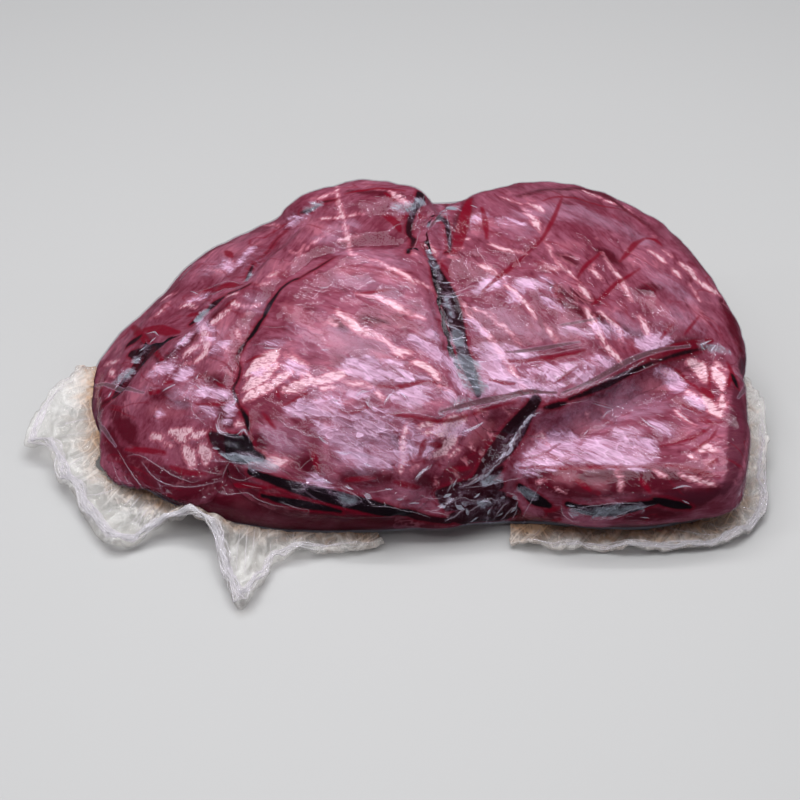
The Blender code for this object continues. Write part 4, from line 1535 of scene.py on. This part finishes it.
def tight_film_material():
    nodes = Nodes("tight film")
    crumpled = nodes.kept("crumpled").ramp(-5.0, 5.0)
    large, large_own, large_lean = facets(nodes, 10.0 * MM, 3.2, -24, 6 * MM)
    small, small_own, small_lean = facets(nodes, 4.0 * MM, 5.0, -40, 4 * MM)
    lines = nodes.ridges(7 * MM, 4, -30, 10, warp=1.2)
    border = small.smallest(large)
    crests = 1.0 - border.ramp(0.0, 0.9 * MM)
    normal = nodes.bump((lines + crests) * (0.2 + 0.8 * crumpled), 1.0, 0.30 * MM)
    normal = leaning(nodes, normal, large_lean, 0.20 + 0.40 * crumpled)
    normal = leaning(nodes, normal, small_lean, 0.08 + 0.40 * crumpled)

    wisps = nodes.noise(3.2 * MM, detail=6, roughness=0.68, long=5.5, turn=-32, warp=0.9)
    fray = wisps.swing(9.0) + large_own.swing(2.0) + small_own.swing(1.6)
    satin = 0.40 * large_own + 0.40 * small_own + wisps.swing(2.2) + 0.25
    # Painted sheen and painted reflection make the veil: a lilac sheen, a weak wide sheen, and
    # grey-blue over the clefts.
    dry = 1.0 - 0.85 * nodes.kept("wet").ramp(-0.8, 0.5)
    lilac_sheen = (nodes.kept("lilac_sheen") + fray).ramp(-3.0, 1.8) * dry
    sheen = (nodes.kept("sheen") + fray).ramp(-4.0, 3.0) * dry
    clefts = (nodes.kept("over_clefts") + fray).ramp(-2.0, 1.0)
    milky_and_sheen = (LILAC_SHEEN_SHARE * lilac_sheen).largest((SHEEN_SHARE * sheen).largest(CLEFT_SHARE * clefts))
    milky_and_sheen = (milky_and_sheen * satin).clamped()

    doubled = nodes.kept("doubled").ramp(-0.4, 0.5)
    # Painted highlights: bright lines on the facets' borders, on the fine ridges and on the pleats.
    at_border = (1.0 - border.ramp(0.05 * MM, 0.40 * MM)) * (
        lilac_sheen.largest(0.6 * crumpled) * small_own.ramp(0.40, 0.75))
    at_line = lines.ramp(0.72, 0.97) * lilac_sheen.largest(0.35 * crumpled)
    at_crease = nodes.kept("crease").ramp(0.25, 0.9)
    share = (milky_and_sheen.largest(DOUBLED_SHARE * doubled) + BRIGHT_CREASE * at_crease
             + BRIGHT_BORDER * at_border + BRIGHT_LINE * at_line)
    colour = nodes.blend(doubled, nodes.blend(clefts, LILAC, GREY_BLUE), GREY_BROWN)
    return film_shader(nodes, share, colour, normal, TIGHT_GLOSS)


film.data.materials.append(tight_film_material())
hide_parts("filled_bag")
print("film:", triangles(film), "triangles")

# %% [markdown]
# ### Pinched and folded film
#
# The cords on the film are several layers of film, so all of a cord has a faint veil: a
# pale lilac one where film is pinched, and a bluer one where it is folded flat, which is
# also painted reflection of the lamps.

# %% Pinched and folded film
PINCHED = (0.80, 0.72, 0.80)
MIRRORING = (0.72, 0.75, 0.88)


def folded_film_material(name, share, colour):
    nodes = Nodes(name)
    normal = nodes.bump(nodes.noise(1.5 * MM), 0.3, 0.2 * MM)
    return film_shader(nodes, share, colour, normal, FOLD_GLOSS)


pleat_cords.data.materials.append(folded_film_material("pinched film", 0.10, PINCHED))
# Painted reflection: the bluish veil on the folds that lie flat stands in for a lamp's glint.
flat_folds.data.materials.append(folded_film_material("film folded flat", 0.18, MIRRORING))
for made in (film, pleat_cords, flat_folds):
    made.visible_shadow = False  # clear film this thin has no shadow to speak of
    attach(made, "root")
print("film, pleats and folds dressed")

# %% [markdown]
# ## The empty margins
#
# Where the bag holds nothing its two layers lie on each other, crumpled, and the sealed
# hem is gathered into a thick white cord. Each margin is a merged copy of its solid,
# divided and crumpled a little more. Strands of folded film run along the hem, and
# pleats cross the margin from the pack to the hem. Blood has stained it near the pack.

# %% Where the margins lie
# Stations round the pack, in millimetres from the pile's middle: a place on the margin's
# inner edge, x and y, and the one across from it on the outer edge.
LEFT_MARGIN = [
    (-164, 22, -180, 20), (-166, 8, -190, 4), (-162, -8, -199, -14), (-160, -22, -202, -34),
    (-158, -34, -189, -40), (-154, -46, -183, -58), (-148, -58, -173, -72),
    (-140, -66, -163, -94), (-132, -70, -150, -112), (-126, -74, -139, -110),
    (-120, -77, -130, -102), (-113, -80, -121, -98), (-106, -83, -111, -99),
    (-100, -85, -101, -106), (-94, -87, -96, -122), (-89, -88, -92, -140),
    (-84, -89, -84, -157), (-79, -90, -76, -142), (-72, -91, -70, -124),
    (-60, -92, -57, -116), (-42, -94, -36, -114), (-22, -94, -18, -110),
]
RIGHT_MARGIN = [
    (156, 8, 172, 8), (156, -12, 178, -10), (156, -34, 177, -38), (154, -56, 173, -60),
    (150, -74, 172, -80), (146, -84, 165, -94), (138, -90, 152, -106), (122, -94, 131, -111),
    (104, -95, 106, -113), (84, -95, 86, -112), (62, -94, 64, -112), (44, -92, 44, -108),
]
MARGINS = {  # the solid that each replaces, and how many strands and crossing pleats it has
    "film_tail": dict(node="bag_tail", stations=LEFT_MARGIN, strands=34, crossings=60),
    "film_end_skirt": dict(node="bag_end_skirt", stations=RIGHT_MARGIN, strands=16,
                           crossings=40),
}
HEM_AT = 0.88  # of the way from the inner to the outer edge


def station_line(stations, share):
    """Points over the table, at a share of the way from the inner to the outer edge."""
    line = []
    for inner_x, inner_y, outer_x, outer_y in stations:
        x = (inner_x + share * (outer_x - inner_x)) * MM - PACK_MIDDLE[0]
        y = (inner_y + share * (outer_y - inner_y)) * MM - PACK_MIDDLE[1]
        line.append(np.array((x, y, 0)))
    return line


print("stations:", {name: len(spec["stations"]) for name, spec in MARGINS.items()})

# %% [markdown]
# ### The loose film's shape
#
# The solid has the margin's outline and its larger folds. It is divided twice, relaxed, and
# crumpled by two noises: a sharp one for creases and a soft one for waves. Cloth could be
# simulated instead, but noise is quick and comes out the same each time. Near the hem the
# film also weaves sideways, because there it is gathered.

# %% The loose film's shape
CRUMPLE = 0.6 * MM
SHARP_SIZE, SOFT_SIZE, GATHER_SIZE = 11 * MM, 5 * MM, 4 * MM
GATHER = 1.6 * MM  # how far the gathered hem weaves to and fro
HEM_REACH = (2 * MM, 7 * MM)


def margin(name, node, stations):
    made = merged_copy(name, node)
    dense = made.modifiers.new("dense", "SUBSURF")
    dense.subdivision_type = "SIMPLE"
    dense.levels = dense.render_levels = 2
    relax(made, passes=4)
    settle(made)
    points = points_of(made.data)
    flat = points * (1, 1, 0)
    to_hem = gap_to_path(flat, station_line(stations, HEM_AT))
    by_hem = 1 - ease(*HEM_REACH, to_hem)
    sharp = np.maximum(0, 1 - 3 * np.abs(noise_at(flat, SHARP_SIZE, 3)))
    soft = noise_at(flat, SOFT_SIZE, 8)
    points[:, 2] += CRUMPLE * (sharp + (0.5 + 1.2 * by_hem) * soft)
    points[:, 0] += GATHER * by_hem * noise_at(flat, GATHER_SIZE, 21)
    points[:, 1] += GATHER * by_hem * noise_at(flat, GATHER_SIZE, 27)
    move_points(made.data, points)
    paint(made.data, "crease", sharp)
    paint(made.data, "hem", to_hem / MM)
    paint(made.data, "inner", gap_to_path(flat, station_line(stations, 0)) / MM)
    return made


print("the margins crumple by", CRUMPLE / MM, "mm, and their hems weave by", GATHER / MM, "mm")

# %% [markdown]
# ### Strands and pleats on the loose film
#
# The gathered hem is drawn as many strands that weave about its line, each of its own
# length. The pleats that cross the margin run between its two edges with a slight bend.
# Every point of them is dropped straight down onto the loose film.

# %% Cords on the loose film
ABOVE_ALL = 0.2
HEM_STEP = 2 * MM
WEAVE = 5.5 * MM  # how far a strand of the hem wanders from the hem's line
STRAND = (0.25, 0.55)  # millimetres, the radius at its thickest
CROSSING = (0.14, 0.30)
CROSSING_STEPS = 8
FEWEST_POINTS = 5


def dropped(tree, places, lift):
    """The points of a piece's upper side under some places, where there are any."""
    hits = [tree.ray_cast(Vector((place[0], place[1], ABOVE_ALL)), Vector((0, 0, -1)))[0]
            for place in places]
    return [hit + Vector((0, 0, lift)) for hit in hits if hit]


def strand(hem):
    start = chance.randint(0, len(hem) // 2)
    stop = chance.randint(start + len(hem) // 4, len(hem))
    seed = chance.uniform(0, 50)
    return [hem[n] + WEAVE * Vector((noise.noise(Vector((n / 8, seed, 0))),
                                     noise.noise(Vector((n / 8, seed, 9))), 0))
            for n in range(start, stop)]


def crossing(stations):
    last = len(stations) - 1.001
    at = chance.uniform(0, last)
    lean = chance.gauss(0, 0.5)
    begin, end = sorted((chance.uniform(0.05, 0.95), chance.uniform(0.05, 0.95)))
    places = []
    for n in range(CROSSING_STEPS + 1):
        share = begin + (end - begin) * n / CROSSING_STEPS
        along = min(max(at + lean * share + 0.08 * math.sin(5 * share + at), 0), last)
        whole, part = int(along), along % 1
        line = station_line(stations, share)
        places.append((1 - part) * line[whole] + part * line[whole + 1])
    return places


def margin_cords(name, tree, stations, strands, crossings):
    hem = smooth_path(station_line(stations, HEM_AT), HEM_STEP)
    paths = []

    def keep(places, lift, thickness):
        path = dropped(tree, places, lift)
        if len(path) >= FEWEST_POINTS:
            paths.append((taper(len(path), chance.uniform(*thickness) * MM), path))

    for _ in range(strands):
        keep(strand(hem), 0.1 * MM, STRAND)
    for _ in range(crossings):
        keep(crossing(stations), 0.05 * MM, CROSSING)
    return cords(name, paths)


sheets, sheet_cords = {}, {}
for name, spec in MARGINS.items():
    sheets[name] = margin(name, spec["node"], spec["stations"])
    sheet_cords[name] = margin_cords(name + "_pleats", surface_tree(sheets[name]),
                                     spec["stations"], spec["strands"], spec["crossings"])
    print(name, len(sheets[name].data.polygons), "faces and",
          len(sheet_cords[name].data.polygons))

# %% [markdown]
# ### The look of loose film
#
# Loose film is clearer than it looks: two thin layers, with fine creases whose white is
# partly painted highlight. Next to the pack it is stained brown where blood has dried, in
# clouds that fade towards the hem.

# %% Loose film
LOOSE_TINT = (0.972, 0.964, 0.950)
LOOSE_INDEX = 1.15  # its two thin layers mirror less than the solid's two thick walls would
CLEAR_WHITE = (0.97, 0.97, 0.98)
CLEAR_MIRROR = (1.0, 1.0, 1.0)
STAIN = (0.40, 0.25, 0.16)


def loose_film_material(name):
    nodes = Nodes(name)
    lines = nodes.ridges(14 * MM, 2.8, 55, 20, warp=1.0)
    fine = nodes.ridges(6 * MM, 3, 100, 16, warp=0.8)
    normal = nodes.bump(lines + 0.4 * fine, 0.3, 0.2 * MM)
    at_hem = 1.0 - nodes.kept("hem").ramp(1.0, 5.0)
    creases = nodes.kept("crease").ramp(0.45, 1.0)
    # The white at the hem is the gathered film's own; along the creases and lines it is partly
    # painted highlight.
    white = 0.06 * at_hem + 0.12 * creases + 0.13 * lines + 0.06 * fine + 0.02
    cloud = nodes.noise(9 * MM, detail=4, warp=1.0)
    stain = 1.0 - (nodes.kept("inner") + cloud.swing(24)).ramp(1.0, 26.0)
    colour = nodes.blend(stain, CLEAR_WHITE, STAIN)
    share = (white + stain * (0.42 + 0.40 * (lines + fine))).clamped()
    return film_shader(nodes, share, colour, normal, LOOSE_GLOSS, LOOSE_INDEX, CLEAR_MIRROR,
                       LOOSE_TINT)


loose_film = loose_film_material("loose film")
strand_film = folded_film_material("gathered hem", 0.24, CLEAR_WHITE)
for name, spec in MARGINS.items():
    node = spec["node"]
    for made, look in ((sheets[name], loose_film), (sheet_cords[name], strand_film)):
        made.data.materials.append(look)
        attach(made, "root")
        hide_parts(node)
print("loose film dressed")
